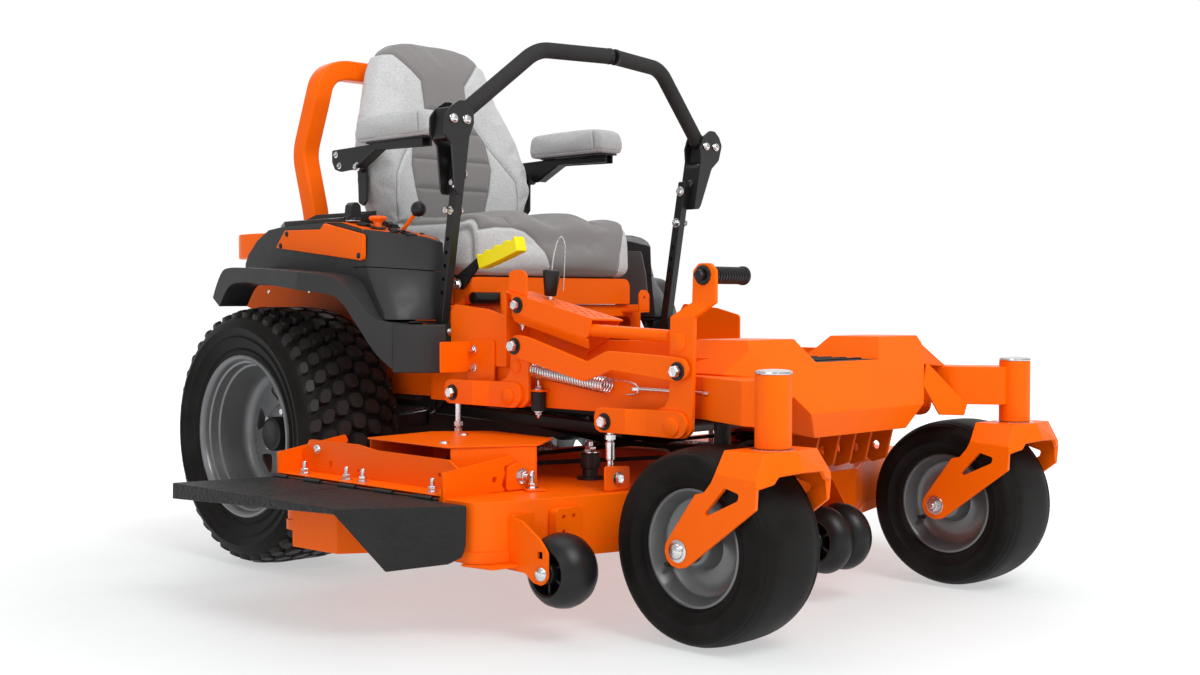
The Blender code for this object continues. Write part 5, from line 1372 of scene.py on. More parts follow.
# stiffening ridge along the top and the rear edge strip
put("deck_ridge", join(prism("z", fillet([(-.250, -.400), (.250, -.400), (.250, -.360), (-.250, -.360)], .012), .2318, .2370),
    prism("z", fillet([(-.330, -.930), (-.140, -.985), (-.140, -.960), (-.330, -.905)], .008), .2318, .2352), prism("z", fillet([(.330, -.930), (.140, -.985), (.140, -.960), (.330, -.905)], .008), .2318, .2352)),
    "deck", "orange_powder_coat", bevel=.0022)
for nm, x, y in SPIN:
    housing = lathe((x, y, 0), (0, 0, 1), [(.0305, .1700), (.0440, .1700), (.0460, .1740), (.0460, .2260), (.0305, .2260)], 36, closed=True)
    collar = lathe((x, y, 0), (0, 0, 1), [(.0170, .2325), (.0820, .2325), (.0840, .2340), (.0840, .2368), (.0600, .2385), (.0360, .2410), (.0330, .2470), (.0170, .2470)], 48, closed=True)
    put("spindle_housing_" + nm, join(housing, collar), "deck", "engine_black", bevel=0)
    for i in range(6):
        a = 2 * pi * i / 6 + .26
        bolt("deck", hexhead((x + .070 * cos(a), y + .070 * sin(a), .2372), (0, 0, 1), .0068, .0050))
    # blade with lifted trailing sails, shaft, pulley
    bar = prism("z", fillet([(-.214, -.030), (.214, -.030), (.214, .030), (-.214, .030)], [.012, .012, .012, .012]), .1500, .1558, [ring2((0, 0), .0120, 20)])
    sails = []
    for q in (-1, 1):
        sails.append(hull([(q * .120, q * .010, .1530), (q * .212, q * .004, .1530), (q * .120, q * .010, .1558), (q * .212, q * .004, .1558),
                           (q * .135, q * .0300, .1600), (q * .208, q * .0300, .1680), (q * .135, q * .0300, .1630), (q * .208, q * .0300, .1708)]))
    spin = 0.9 if nm == "right" else (.35 if nm == "centre" else 2.1)
    turn = lambda p, x=x, y=y, k=spin: (x + p.x * cos(k) - p.y * sin(k), y + p.x * sin(k) + p.y * cos(k), p.z)
    put("blade_bar_" + nm, moved(join(bar, *sails), turn), "blade_" + nm, "blade_steel", ["blade_" + nm], .0010)
    put("blade_shaft_" + nm, join(rod((x, y, .1420), (x, y, .2850), .0128, 24, None, .001), lathe((x, y, 0), (0, 0, 1), [(.0129, .1565), (.0300, .1565), (.0300, .1630), (.0240, .1650), (.0129, .1650)], 28)),
        "blade_" + nm, "zinc_steel", bevel=0)
    put("blade_pulley_" + nm, lathe((x, y, 0), (0, 0, 1), [(.0129, .2478), (.0300, .2478), (.0470, .2490), (.0480, .2502), (.0480, .2520), (.0392, .2570), (.0392, .2612), (.0480, .2662), (.0480, .2684), (.0470, .2700),
        (.0380, .2694), (.0220, .2640), (.0200, .2720), (.0129, .2720)], 44), "blade_" + nm, "engine_black", bevel=0)
    bolt("blade_" + nm, nut((x, y, .2720), (0, 0, 1), .0150, .0110, .001))
    bolt("blade_" + nm, lathe((x, y, .1500), (0, 0, -1), [(.0240, 0), (.0240, .003), (.0150, .0042), (.0150, .0110), (.0130, .0130), (0, .0130)], 6))

ring = [(x + .0425 * cos(2 * pi * i / 32), y + .0425 * sin(2 * pi * i / 32)) for _n, x, y in SPIN for i in range(32)]
loop = hull2(ring)
put("deck_belt", prism("z", offset_loop(loop, .0044), .2552, .2630, [offset_loop(loop, -.0030)]), "deck", "belt", bevel=.0008)
# run from the centre spindle back to the engine clutch
ring = [(.0425 * cos(2 * pi * i / 32), -.80 + .0425 * sin(2 * pi * i / 32)) for i in range(32)] + [(.0580 * cos(2 * pi * i / 32), .230 + .0580 * sin(2 * pi * i / 32)) for i in range(32)]
loop = hull2(ring)
long_belt = prism("z", offset_loop(loop, .0044), 0.0, .0078, [offset_loop(loop, -.0030)])
bmesh.ops.subdivide_edges(long_belt, edges=[e for e in long_belt.edges if e.calc_length() > .2], cuts=14, use_grid_fill=True)
put("engine_belt", moved(long_belt, lambda p: (p.x, p.y, p.z + .2700 + .078 * min(1, max(0, (p.y + .60) / .70)))),
    ("deck", "chassis", V((0, -.60, .3)) + OFF, V((0, .10, .3)) + OFF), "belt", bevel=0)
put("centre_pulley_top", lathe((0, -.80, 0), (0, 0, 1), [(.0130, .2702), (.0460, .2702), (.0480, .2712), (.0400, .2738), (.0480, .2790), (.0460, .2800), (.0130, .2800)], 44), "blade_centre", "engine_black", bevel=0)
# idler arms and pulleys on the deck top
for side, s in SIDES:
    put("idler_" + side, join(lathe((s * .215, -.520, 0), (0, 0, 1), [(.006, .2480), (.0400, .2480), (.0420, .2500), (.0380, .2530), (.0380, .2640), (.0420, .2670), (.0400, .2690), (.006, .2690)], 40),
        prism("z", fillet([(s * .195, -.535), (s * .235, -.535), (s * .160, -.360), (s * .120, -.380)] if s > 0 else [(s * .120, -.380), (s * .160, -.360), (s * .235, -.535), (s * .195, -.535)], .010), .2400, .2460)), "deck", "engine_black", bevel=.0008)
    bolt("deck", hexhead((s * .215, -.520, .2690), (0, 0, 1), .0085))
    bolt("deck", hexhead((s * .140, -.370, .2460), (0, 0, 1), .0085))

# belt covers
for side, s in SIDES:
    top = sx(s, [(.593, -.512), (.601, -.756), (.454, -.838), (.352, -.766), (.333, -.570), (.425, -.495)])
    lid = prism("z", fillet(top, .004, 3), .3090, .3120)
    walls = [prism("z", sx(s, [(.5915, -.7550), (.5895, -.7585), (.4560, -.8340), (.4580, -.8305)]), .2330, .3100),
             prism("z", sx(s, [(.4560, -.8340), (.4590, -.8340), (.4080, -.6200), (.4050, -.6200)]), .2330, .3100),
             prism("z", sx(s, [(.4050, -.6200), (.4085, -.6220), (.4300, -.5050), (.4270, -.5030)]), .2330, .3100),
             prism("z", sx(s, [(.4270, -.5030), (.4280, -.5060), (.5880, -.5180), (.5880, -.5150)]), .2330, .3100),
             prism("z", sx(s, [(.450, -.832), (.480, -.815), (.502, -.860), (.470, -.874)]), .2326, .2356)]
    put("belt_cover_%s_skin" % side, join(lid, *walls), "deck", "orange_powder_coat", ["belt_cover_" + side], .0011)
    bolt("deck", nut((s * .4780, -.8450, .2356), (0, 0, 1), .0085, .008, .022))
    bolt("deck", dome((s * .560, -.700, .3120), (0, 0, 1), .009, .004))
    bolt("deck", dome((s * .430, -.600, .3120), (0, 0, 1), .009, .004))
    if s > 0:
        put("left_deck_bracket", join(prism("z", fillet([(.604, -.800), (.655, -.800), (.655, -.420), (.604, -.420)], .006), .2325, .2362), prism("x", fillet([(-.800, .2325), (-.420, .2325), (-.440, .270), (-.780, .276)], .006), .6020, .6065)),
            "deck", "orange_powder_coat", bevel=.0011)
        for y in (-.76, -.61, -.46):
            bolt("deck", nut((.632, y, .2362), (0, 0, 1), .0080, .008, .010))

# chute bracket channel
wall = fillet([(-.800, .2330), (-.320, .2330), (-.320, .262), (-.345, .2985), (-.500, .2990), (-.560, .2920), (-.770, .2900), (-.800, .2740)], [.002, .002, .006, .012, .02, .02, .012, .004], 4)
sq = lambda y, z, h=.0055: [(y - h, z - h), (y + h, z - h), (y + h, z + h), (y - h, z + h)]
wallp = prism("x", wall, -.6080, -.6035, [sq(-.418, .256), ring2((-.505, .250), .0028, 10), ring2((-.745, .262), .0040, 12)])
floor_ = prism("z", fillet([(-.664, -.820), (-.602, -.820), (-.602, -.318), (-.664, -.318)], .004), .2325, .2368)
fend = fillet([(-.6640, .2240), (-.6640, .2760), (-.5090, .2945), (-.5020, .2850), (-.5270, .2765), (-.5240, .2640), (-.5320, .2440), (-.5200, .2330), (-.5600, .2330), (-.5620, .2240)], [.003, .005, .004, .004, .005, .006, .006, .004, .003, .003], 3)
fendp = prism("y", fend, -.8240, -.8195, [[(-.553, .250), (-.543, .250), (-.543, .260), (-.553, .260)]])
rend = fillet([(-.6640, .2330), (-.6640, .2760), (-.5060, .3000), (-.5000, .2880), (-.5200, .2640), (-.5080, .2330)], [.003, .005, .004, .004, .008, .004], 3)
rendp = prism("y", rend, -.3225, -.3180)
lip = prism("y", fillet([(-.6640, .2240), (-.6640, .2370), (-.6600, .2370), (-.6600, .2240)], .001), -.820, -.318)
put("chute_bracket_skin", join(wallp, floor_, fendp, rendp, lip), "deck", "orange_powder_coat", ["chute_bracket"], .0011)
hook = fillet([(-.527, .2340), (-.473, .2340), (-.473, .252), (-.482, .274), (-.500, .282), (-.523, .276)], .007)
put("chute_catch", prism("y", hook, -.8320, -.8275), "deck", "orange_powder_coat", bevel=.0011)
bolt("deck", nut((-.491, -.8320, .258), (0, -1, 0), .0092, .009, .007))
bolt("deck", dome((-.6080, -.372, .2800), (-1, 0, 0), .0105, .0060))
for y in (-.377, -.513, -.564, -.766):
    bolt("deck", nut((-.640, y, .2368), (0, 0, 1), .0078, .009, .014))
put("chute_pin", rod((-.668, -.815, .2305), (-.668, -.305, .2305), .0022, 24), "deck", "black_steel", bevel=0)

# rubber flap: top, outer lip, front skirt
def skirt_y(x):
    return -.893 + (-.669 - x) * (.121 / .181)


FA, FB, FC, FD = (-.6700, -.8930, .2285), (-.8500, -.7720, .2285), (-.8570, -.2640, .2285), (-.6700, -.3110, .2285)
FB2, FC2 = (-.8508, -.7717, .2195), (-.8575, -.2640, .1985)
low = [(-.850, .2195), (-.7810, .1220), (-.6950, .1310), (-.6760, .1420), (-.6710, .1600)]
skirt = [FA, FB, FB2] + [(x, skirt_y(x), z) for x, z in low[1:]]
put("chute_flap_skin", faces3([[FA, FB, FC, FD], [FB, FC, FC2, FB2], skirt]), "chute", "flap_rubber", ["chute_flap"], .0028, 3, 20, solid=.0066,
    groove=[box(-.900, -.676, -.5520, -.5490, .2268, .2400)])
kn = []
for y0 in (-.800, -.690, -.580, -.470, -.360):
    kn.append(lathe((-.668, y0, .2305), (0, 1, 0), [(.0026, 0), (.0046, 0), (.0046, .050), (.0026, .050)], 24, closed=True))
put("chute_hinge", join(*kn), "chute", "black_steel", bevel=0)
# discharge guide under the flap
guide = [(-.662, -.5160), (-.7640, -.5280), (-.7560, -.6500), (-.7120, -.6770), (-.662, -.7000)]
gl = guide + list(reversed(offset_open(guide, -.004)))
# its formed bracket bolts up under the deck's top plate
gbr = [(-.666, .2120), (-.6315, .2120), (-.6315, .2230), (-.5950, .2230), (-.5950, .2262), (-.6350, .2262), (-.6350, .2150), (-.666, .2150)]
put("discharge_guide", join(prism("z", gl, .1290, .2150), prism("z", guide, .2120, .2150), prism("y", gbr, -.6940, -.5220)), "deck", "orange_powder_coat", bevel=.0010)
for y in (-.655, -.560):
    bolt("deck", hexhead((-.6130, y, .2230), (0, 0, -1), .0080))

# scalp wheels and their brackets
def barrel(c, hw, R):
    outer = [(R * .58, -hw * .95), (R * .64, -hw), (R * .78, -hw * .86), (R * .90, -hw * .62), (R * .97, -hw * .32), (R, 0), (R * .97, hw * .32), (R * .90, hw * .62), (R * .78, hw * .86), (R * .64, hw), (R * .58, hw * .95), (R * .58, -hw * .95)]
    parts = [lathe(c, (1, 0, 0), outer[:-1], 48, closed=True), lathe(c, (1, 0, 0), [(.0085, -hw * .98), (.0175, -hw * .98), (.0190, -hw * .9), (.0190, hw * .9), (.0175, hw * .98), (.0085, hw * .98)], 28, closed=True),
             lathe(c, (1, 0, 0), [(.0185, -.0025), (R * .59, -.0025), (R * .59, .0025), (.0185, .0025)], 40, closed=True)]
    for i in range(6):
        a = 2 * pi * i / 6
        sp = box(c[0] - hw * .75, c[0] + hw * .75, -.0022, .0022, .0180, R * .59)
        parts.append(moved(sp, lambda p, a=a: (p.x, c[1] + p.y * cos(a) - p.z * sin(a), c[2] + p.y * sin(a) + p.z * cos(a))))
    return join(*parts)


for side, s in SIDES:
    put("scalp_wheel_%s_skin" % side, barrel((s * .5550, -1.003, .1195), .0410, .0635), "scalp_" + side, "black_plastic", ["scalp_wheel_" + side], .0008)
    plate = fillet([(-.883, .212), (-.883, .118), (-.963, .116), (-.985, .102), (-1.005, .100), (-1.017, .112), (-1.017, .156), (-.998, .176), (-.954, .202)], [.003, .003, .01, .014, .014, .014, .014, .014, .012], 4)
    put("scalp_bracket_" + side, join(prism("x", plate, *span(s, .5985, .6035), [sq(-1.000, .150, .0060)]),
        prism("y", sx(s, fillet([(.5370, .1400), (.6030, .1400), (.6030, .2100), (.5370, .2100)], .004)), -.9340, -.9295)), "deck", "orange_powder_coat", bevel=.0012)
    bolt("deck", dome((s * .6035, -1.003, .1195), (s, 0, 0), .0125, .0075))
    bolt("deck", nut((s * .5130, -1.003, .1195), (-s, 0, 0), .0105, .009, .006))
    bolt("deck", rod((s * .5130, -1.003, .1195), (s * .6035, -1.003, .1195), .0080, 16))
    # folded corner foot
    put("deck_foot_" + side, prism("z", sx(s, fillet([(.668, -.872), (.560, -.872), (.560, -.955), (.655, -.942)], .006)), .1240, .1282), "deck", "orange_powder_coat", bevel=.0010)
    put("deck_front_pad_" + side, prism("y", sx(s, fillet([(.470, .135), (.530, .135), (.530, .215), (.470, .215)], .010)), -.962, -.9445, [ring2((s * .488, .200), .0040, 12), ring2((s * .512, .200), .0040, 12), ring2((s * .512, .175), .0036, 12)]),
        "deck", "orange_powder_coat", bevel=.0012)
put("scalp_wheel_centre_skin", join(barrel((.0095, -1.120, .1195), .0295, .0640), barrel((.0700, -1.120, .1195), .0295, .0640)), "scalp_centre", "black_plastic", ["scalp_wheel_centre"], .0008)
cpl = fillet([(-1.046, .225), (-1.046, .150), (-1.100, .108), (-1.120, .103), (-1.136, .112), (-1.136, .130), (-1.080, .215), (-1.070, .225)], .006)
put("scalp_bracket_centre", join(prism("x", cpl, .1015, .1065), prism("x", cpl, -.0265, -.0215), prism("y", fillet([(-.0265, .150), (.1065, .150), (.1065, .225), (-.0265, .225)], .004), -1.0545, -1.0500)), "deck", "orange_powder_coat", bevel=.0012)
bolt("deck", rod((-.0265, -1.120, .1195), (.1065, -1.120, .1195), .0080, 16))
bolt("deck", dome((-.0265, -1.120, .1195), (-1, 0, 0), .0120, .007))
bolt("deck", nut((.1065, -1.120, .1195), (1, 0, 0), .0105, .009, .006))

# =====================================================================  deck lift
def stadium(a, b, r, n=14):
    """Outline of a slot between two centres."""
    t = atan2(b[1] - a[1], b[0] - a[0])
    ends = [(b, t - pi / 2), (a, t + pi / 2)]
    return [(c[0] + r * cos(w + pi * i / n), c[1] + r * sin(w + pi * i / n)) for c, w in ends for i in range(n + 1)]


for side, s in SIDES:
    for y, top_z in ((-.945, .371), (-.526, .405)):
        x = s * .3825
        nm = "front" if y < -.8 else "rear"
        pieces = [rod((x, y, .2360), (x, y, top_z - .022), .0060, 18), lathe((x, y, 0), (0, 0, 1), [(.0060, .2480), (.0098, .2490), (.0098, .2570), (.0060, .2580)], 6),
                  lathe((x, y, 0), (0, 0, 1), [(.0060, .2860), (.0085, .2880), (.0085, .3180), (.0060, .3200)], 20), lathe((x, y, 0), (0, 0, 1), [(.0060, .3220), (.0098, .3230), (.0098, .3310), (.0060, .3320)], 6),
                  prism("x", stadium((y, top_z - .016), (y - .0080, top_z - .0150), .0140), x - .0055, x + .0055, [stadium((y, top_z - .016), (y - .0080, top_z - .0150), .0085)])]
        put("hanger_%s_%s_skin" % (nm, side), join(*pieces), "deck", "zinc_steel", ["hanger_%s_right" % nm] if s < 0 else (), 0)
        if nm == "front":
            tab = sx(s, fillet([(.345, .2330), (.407, .2330), (.407, .2780), (.345, .2740)], .006))
            put("hanger_tab_front_" + side, prism("y", tab, y - .0130, y - .0085), "deck", "orange_powder_coat", bevel=.0011)
            bolt("deck", hexhead((s * .376, y - .0130, .2540), (0, -1, 0), .0088))
        else:
            put("hanger_tab_rear_" + side, prism("z", sx(s, fillet([(.350, y - .030), (.415, y - .030), (.415, y + .030), (.350, y + .030)], .008)), .2325, .2375), "deck", "orange_powder_coat", bevel=.0011)

    # joggled arms
    for nm, body, y0, bend, y1, z0, z1, py, pz in (("front", "lift_front", -.9190, (-.9960, -1.0280), -1.1220, .3340, .3800, -1.089, .353), ("rear", "lift_rear", -.5000, (-.5850, -.6170), -.7060, .3650, .4140, -.670, .387)):
        xo, xi = s * .3970, s * .3800
        r = .014
        zf = z0 + .002
        left_end = [(xo, y0 - r, z1), (xo, y0 - r * .3, z1 - r * .3), (xo, y0, z1 - r), (xo, y0, zf + r), (xo, y0 - r * .3, zf + r * .3), (xo, y0 - r, zf)]
        outer_p = left_end + [(xo, bend[0], zf), (xo, bend[0], z1)]
        facet = [(xo, bend[0], z1), (xo, bend[0], zf), (xi, bend[1], z0), (xi, bend[1], z1)]
        rr = (z1 - z0) * .5
        endp = [(xi, y1 + rr - rr * sin(t), (z0 + z1) / 2 - rr * cos(t)) for t in [pi * k / 10 for k in range(11)]]
        inner_p = [(xi, bend[1], z1), (xi, bend[1], z0)] + endp
        sheet = faces3([outer_p, facet, inner_p])
        for f in sheet.faces:
            if f.normal.x * s < 0:
                f.normal_flip()
        put("lift_arm_%s_%s" % (nm, side), sheet, body, "orange_powder_coat", (), .0014, 2, 20, solid=.0078)
        bolt(body, lathe((xi, py, pz), (s, 0, 0), [(.0165, -.001), (.0165, .0026), (.0150, .0036)], 30), "orange_powder_coat")
        ry = -.945 if nm == "front" else -.526
        rz = .355 if nm == "front" else .389
        bolt(body, join(lathe((xo, ry, rz), (s, 0, 0), [(.0155, 0), (.0155, .0018)], 28)), "black_plastic")
        bolt(body, hexhead((xo + s * .0016, ry, rz), (s, 0, 0), .0105, .0080, 0))
        bolt(body, rod((s * .3860, ry, rz), (xo, ry, rz), .0060, 14))
    put("isolator_rear_" + side, join(lathe((s * .3520, -.7260, 0), (0, 0, 1), [(.0100, .3600), (.0135, .3610), (.0135, .3960), (.0100, .3970)], 28)), "chassis", "flap_rubber", bevel=0)
    put("isolator_tab_rear_" + side, prism("z", sx(s, fillet([(.3400, -.7460), (.3640, -.7460), (.3640, -.7060), (.3400, -.7060)], .004)), .3970, .4010), "chassis", "orange_powder_coat", bevel=.0008)
    bolt("chassis", nut((s * .3520, -.7260, .4010), (0, 0, 1), .0062, .006, .010))
    bolt("chassis", nut((s * .3520, -.7260, .3600), (0, 0, -1), .0062, .006, .006))
    if s < 0:
        put("isolator_front_" + side, join(lathe((s * .3180, -1.1500, 0), (0, 0, 1), [(.0110, .3200), (.0145, .3210), (.0145, .3640), (.0110, .3655)], 28)), "chassis", "flap_rubber", bevel=0)
        bolt("chassis", nut((s * .3180, -1.1500, .3200), (0, 0, -1), .0062, .006, .006))

for nm, y, z in (("front", -1.089, .353), ("rear", -.670, .387)):
    put("lift_shaft_" + nm, rod((-.3660, y, z), (.3660, y, z), .0120, 24, None, .001), "lift_" + nm, "black_steel", ["lift_pedal"] if nm == "front" else ["lift_rear_crank"], 0)
left_plate = fillet([(-1.060, .334), (-1.108, .334), (-1.118, .352), (-1.108, .376), (-1.060, .382)], .010)
put("lift_collar_front_left", prism("x", left_plate, .3640, .3718), "lift_front", "orange_powder_coat", bevel=.0012)
left_plate = fillet([(-.640, .366), (-.690, .366), (-.700, .384), (-.690, .408), (-.640, .412)], .010)
put("lift_collar_rear_left", prism("x", left_plate, .3640, .3718), "lift_rear", "orange_powder_coat", bevel=.0012)
# pedal plate: lower leaf, offset bend, upper leaf with the peg
lower = [(-.3722, y, z) for y, z in fillet([(-1.079, .541), (-1.133, .541), (-1.128, .346), (-1.111, .334), (-1.050, .334), (-1.050, .382), (-1.066, .386), (-1.077, .404)], [0, 0, .016, .016, .004, .004, .012, .012], 4)]
lower[0], lower[1] = (-.3722, -1.079, .541), (-.3722, -1.133, .541)
upper = [(-.3640, y, z) for y, z in fillet([(-1.121, .566), (-1.123, .620), (-1.136, .632), (-1.160, .632), (-1.172, .620), (-1.172, .566)], [0, .010, .010, .010, .010, 0], 4)]
upper[0], upper[-1] = (-.3640, -1.121, .566), (-.3640, -1.172, .566)
sheet = faces3([lower, [(-.3722, -1.079, .541), (-.3722, -1.133, .541), (-.3640, -1.172, .566), (-.3640, -1.121, .566)], upper])
for f in sheet.faces:
    if f.normal.x > 0:
        f.normal_flip()
put("lift_pedal_plate", sheet, "lift_front", "orange_powder_coat", (), .0014, 2, 12, solid=.0078)
bolt("lift_front", lathe((-.3722, -1.099, .498), (-1, 0, 0), [(.0165, -.001), (.0165, .0020), (.0150, .0030)], 30), "orange_powder_coat")
peg = [(.0110, 0), (.0110, .004)]
for i in range(12):
    a = .006 + i * .0072
    peg += [(.0128, a), (.0150, a + .0012), (.0150, a + .0050), (.0128, a + .0062)]
peg += [(.0165, .0935), (.0165, .0990), (.0140, .1010), (0, .1010)]
put("pedal_grip", lathe((-.3560, -1.146, .612), (1, 0, 0), peg, 28), "lift_front", "black_plastic", bevel=0)
bolt("lift_front", join(lathe((-.3645, -1.146, .612), (-1, 0, 0), [(.0170, 0), (.0170, .0020), (.0150, .0040)], 28), hexhead((-.3685, -1.146, .612), (-1, 0, 0), .0105, .0085, 0)), "black_plastic")
crank = fillet([(-.672, .505), (-.714, .501), (-.719, .456), (-.719, .378), (-.702, .366), (-.640, .366), (-.640, .416), (-.654, .420), (-.667, .436)], [.016, .016, .02, .016, .016, .004, .004, .012, .012], 4)
put("lift_crank_plate", prism("x", crank, -.3720, -.3642), "lift_rear", "orange_powder_coat", bevel=.0014)
bolt("lift_rear", lathe((-.3720, -.6850, .4440), (-1, 0, 0), [(.0130, -.001), (.0130, .0022), (.0115, .0032)], 28), "orange_powder_coat")
link = fillet([(-.712, .5035), (-.684, .496), (-.676, .476), (-.690, .463), (-.879, .423), (-.951, .446), (-1.104, .4310), (-1.124, .4380), (-1.130, .4530), (-1.120, .4700), (-1.100, .4730), (-.938, .4800), (-.886, .4590), (-.735, .4990)],
              [.014, .014, .012, .014, .012, .03, .014, .012, .012, .012, .014, .03, .012, .02], 4)
put("lift_link_skin", prism("x", link, -.3845, -.3765), "lift_link", "orange_powder_coat", ["lift_link"], .0013)
for y, z in ((-1.106, .449), (-.694, .483)):
    bolt("lift_link", lathe((-.3845, y, z), (-1, 0, 0), [(.0160, 0), (.0160, .0018)], 28), "black_plastic")
    bolt("lift_link", hexhead((-.3861, y, z), (-1, 0, 0), .0112, .0090, 0))

# height-of-cut plate: perforated top, side walls, tab
def hz(y):
    return .5830 + (y + .660) * .2150


rows = []
for i in range(12):
    for j in range(3):
        y = -.700 - i * .0150
        x = -.3450 + j * .0165 + (.008 if i % 2 else 0)
        rows.append(ring2((x, y), .0042, 12))
topp = prism("z", fillet([(-.3600, -.640), (-.2900, -.640), (-.2900, -.890), (-.3600, -.876)], .004), -.0030, 0, rows)
topp = moved(topp, lambda p: (p.x, p.y, p.z + hz(p.y)))
sidew = fillet([(-.660, hz(-.660) - .001), (-.876, hz(-.876) - .001), (-.868, .4990), (-.660, .5460)], [.004, .006, .012, .006])
flange = faces3([[(-.3590, -.660, .5460), (-.3590, -.868, .4990), (-.3500, -.862, .4820), (-.3500, -.660, .5300)]])
put("height_plate_skin", join(topp, prism("x", sidew, -.3610, -.3575), prism("x", fillet([(-.640, .4410), (-.640, hz(-.640) - .001), (-.886, hz(-.886) - .001), (-.860, .500), (-.800, .470), (-.800, .4410)], .006), -.2960, -.2925),
    prism("y", fillet([(-.3600, .4410), (-.2930, .4410), (-.2930, .583), (-.3600, .583)], .003), -.6430, -.6395)), "chassis", "orange_powder_coat", ["height_plate"], .0009)
put("height_flange", flange, "chassis", "orange_powder_coat", bevel=.0008, solid=.0034)
put("height_tab", prism("x", fillet([(-.642, .577), (-.642, .622), (-.654, .628), (-.682, .627), (-.692, .618), (-.692, .560), (-.655, .560)], .005), -.3520, -.3475), "chassis", "orange_powder_coat", bevel=.0012)
bolt("chassis", lathe((-.3610, -.676, .5600), (-1, 0, 0), [(.0155, 0), (.0155, .0018)], 28), "black_plastic")
bolt("chassis", hexhead((-.3626, -.676, .5600), (-1, 0, 0), .0098, .0080, 0))
bolt("chassis", nut((-.335, -.664, .5260), (0, 0, -1), .0065, .006, .008))
put("height_tube", rod((-.3480, -.868, .5150), (-.3480, -1.058, .5070), .0115, 28, None, .0008), "chassis", "orange_powder_coat", bevel=0)
pb, pd = V((-.310, -.7135, .5760)), V((0, -.10, 1)).normalized()
put("height_pin_skin", lathe(pb, pd, [(.0040, -.020), (.0040, .001), (.0105, .002), (.0115, .0035), (.0170, .0455), (.0170, .0490), (.0150, .0515), (.0050, .0508), (0, .0506)], 32), "height_pin", "black_plastic", ["height_pin"], 0)
q = pb + pd * .0520
put("pin_wire", join(lathe(pb, pd, [(0, -.0460), (.0032, -.0460), (.0044, -.0440), (.0044, .0015), (0, .0015)], 24), pipe(curve_pts([q, q + V((.004, .000, .026)), q + V((.012, -.002, .056)), q + V((.021, -.006, .066)), q + V((.026, -.010, .050)), q + V((.022, -.012, .008)), q + V((.016, -.014, -.040))], .02, 8), .0011, 8)), "height_pin", "zinc_steel", bevel=0)

# assist spring with its hook and draw rod
sp = [coil((-.3565, -.722, .4390), (-.3565, -.914, .4160), .0138, .0021, 29)]
sp.append(pipe(curve_pts([(-.3550, -.722, .4510), (-.3530, -.706, .4480), (-.3530, -.695, .4420)], .01, 5), .0016, 8))
sp.append(pipe(curve_pts([(-.3550, -.914, .4280), (-.3530, -.945, .4262), (-.3530, -.978, .4215), (-.3530, -.989, .4130), (-.3530, -.980, .4030), (-.3530, -.958, .4010)], .014, 6), .0018, 8))
put("assist_spring", join(*sp), "chassis", "zinc_steel", bevel=0)
put("assist_rod", join(rod((-.3530, -.990, .4130), (-.3530, -1.150, .4115), .0034, 14), lathe((-.3530, -.982, .4130), (0, 0, 1), [(.0050, -.0025), (.0095, -.0025), (.0095, .0025), (.0050, .0025)], 22, closed=True),
    lathe((-.3530, -1.0720, .4122), (0, -1, 0), [(.0034, 0), (.0075, .0005), (.0075, .0065), (.0034, .0070)], 6)), "chassis", "zinc_steel", bevel=0)
put("assist_tab", prism("y", fillet([(-.3620, .3700), (-.3395, .3700), (-.3395, .4280), (-.3620, .4280)], .006), -1.0720, -1.0670), "chassis", "orange_powder_coat", bevel=.0010)

# seat damper and hinge tabs in front of the tower
put("seat_damper", join(lathe((-.262, -.4270, .5740), (1, 0, 0), [(.0080, 0), (.0125, .002), (.0125, .082), (.0110, .085), (.0110, .090), (.0060, .092)], 30)), "chassis", "black_plastic", bevel=0)
bolt("chassis", lathe((-.1710, -.4270, .5740), (1, 0, 0), [(.0070, 0), (.0090, .001), (.0090, .0090), (.0065, .0100)], 24))
for x0, x1, zt in ((-.1965, -.1660, .5960), (.2250, .2590, .5930)):
    put("hinge_tab_" + ("right" if x0 < 0 else "left"), join(prism("y", fillet([(x0, .5450), (x1, .5450), (x1, zt - .010), (x1 - .010, zt), (x0 + .010, zt), (x0, zt - .010)], .003), -.4330 - .0110, -.4400, [ring2(((x0 + x1) / 2, .576), .0035, 12)]),
        prism("z", [(x0, -.4440), (x1, -.4440), (x1, -.3880), (x0, -.3880)], .5420, .5460)), "chassis", "orange_powder_coat", bevel=.0010)

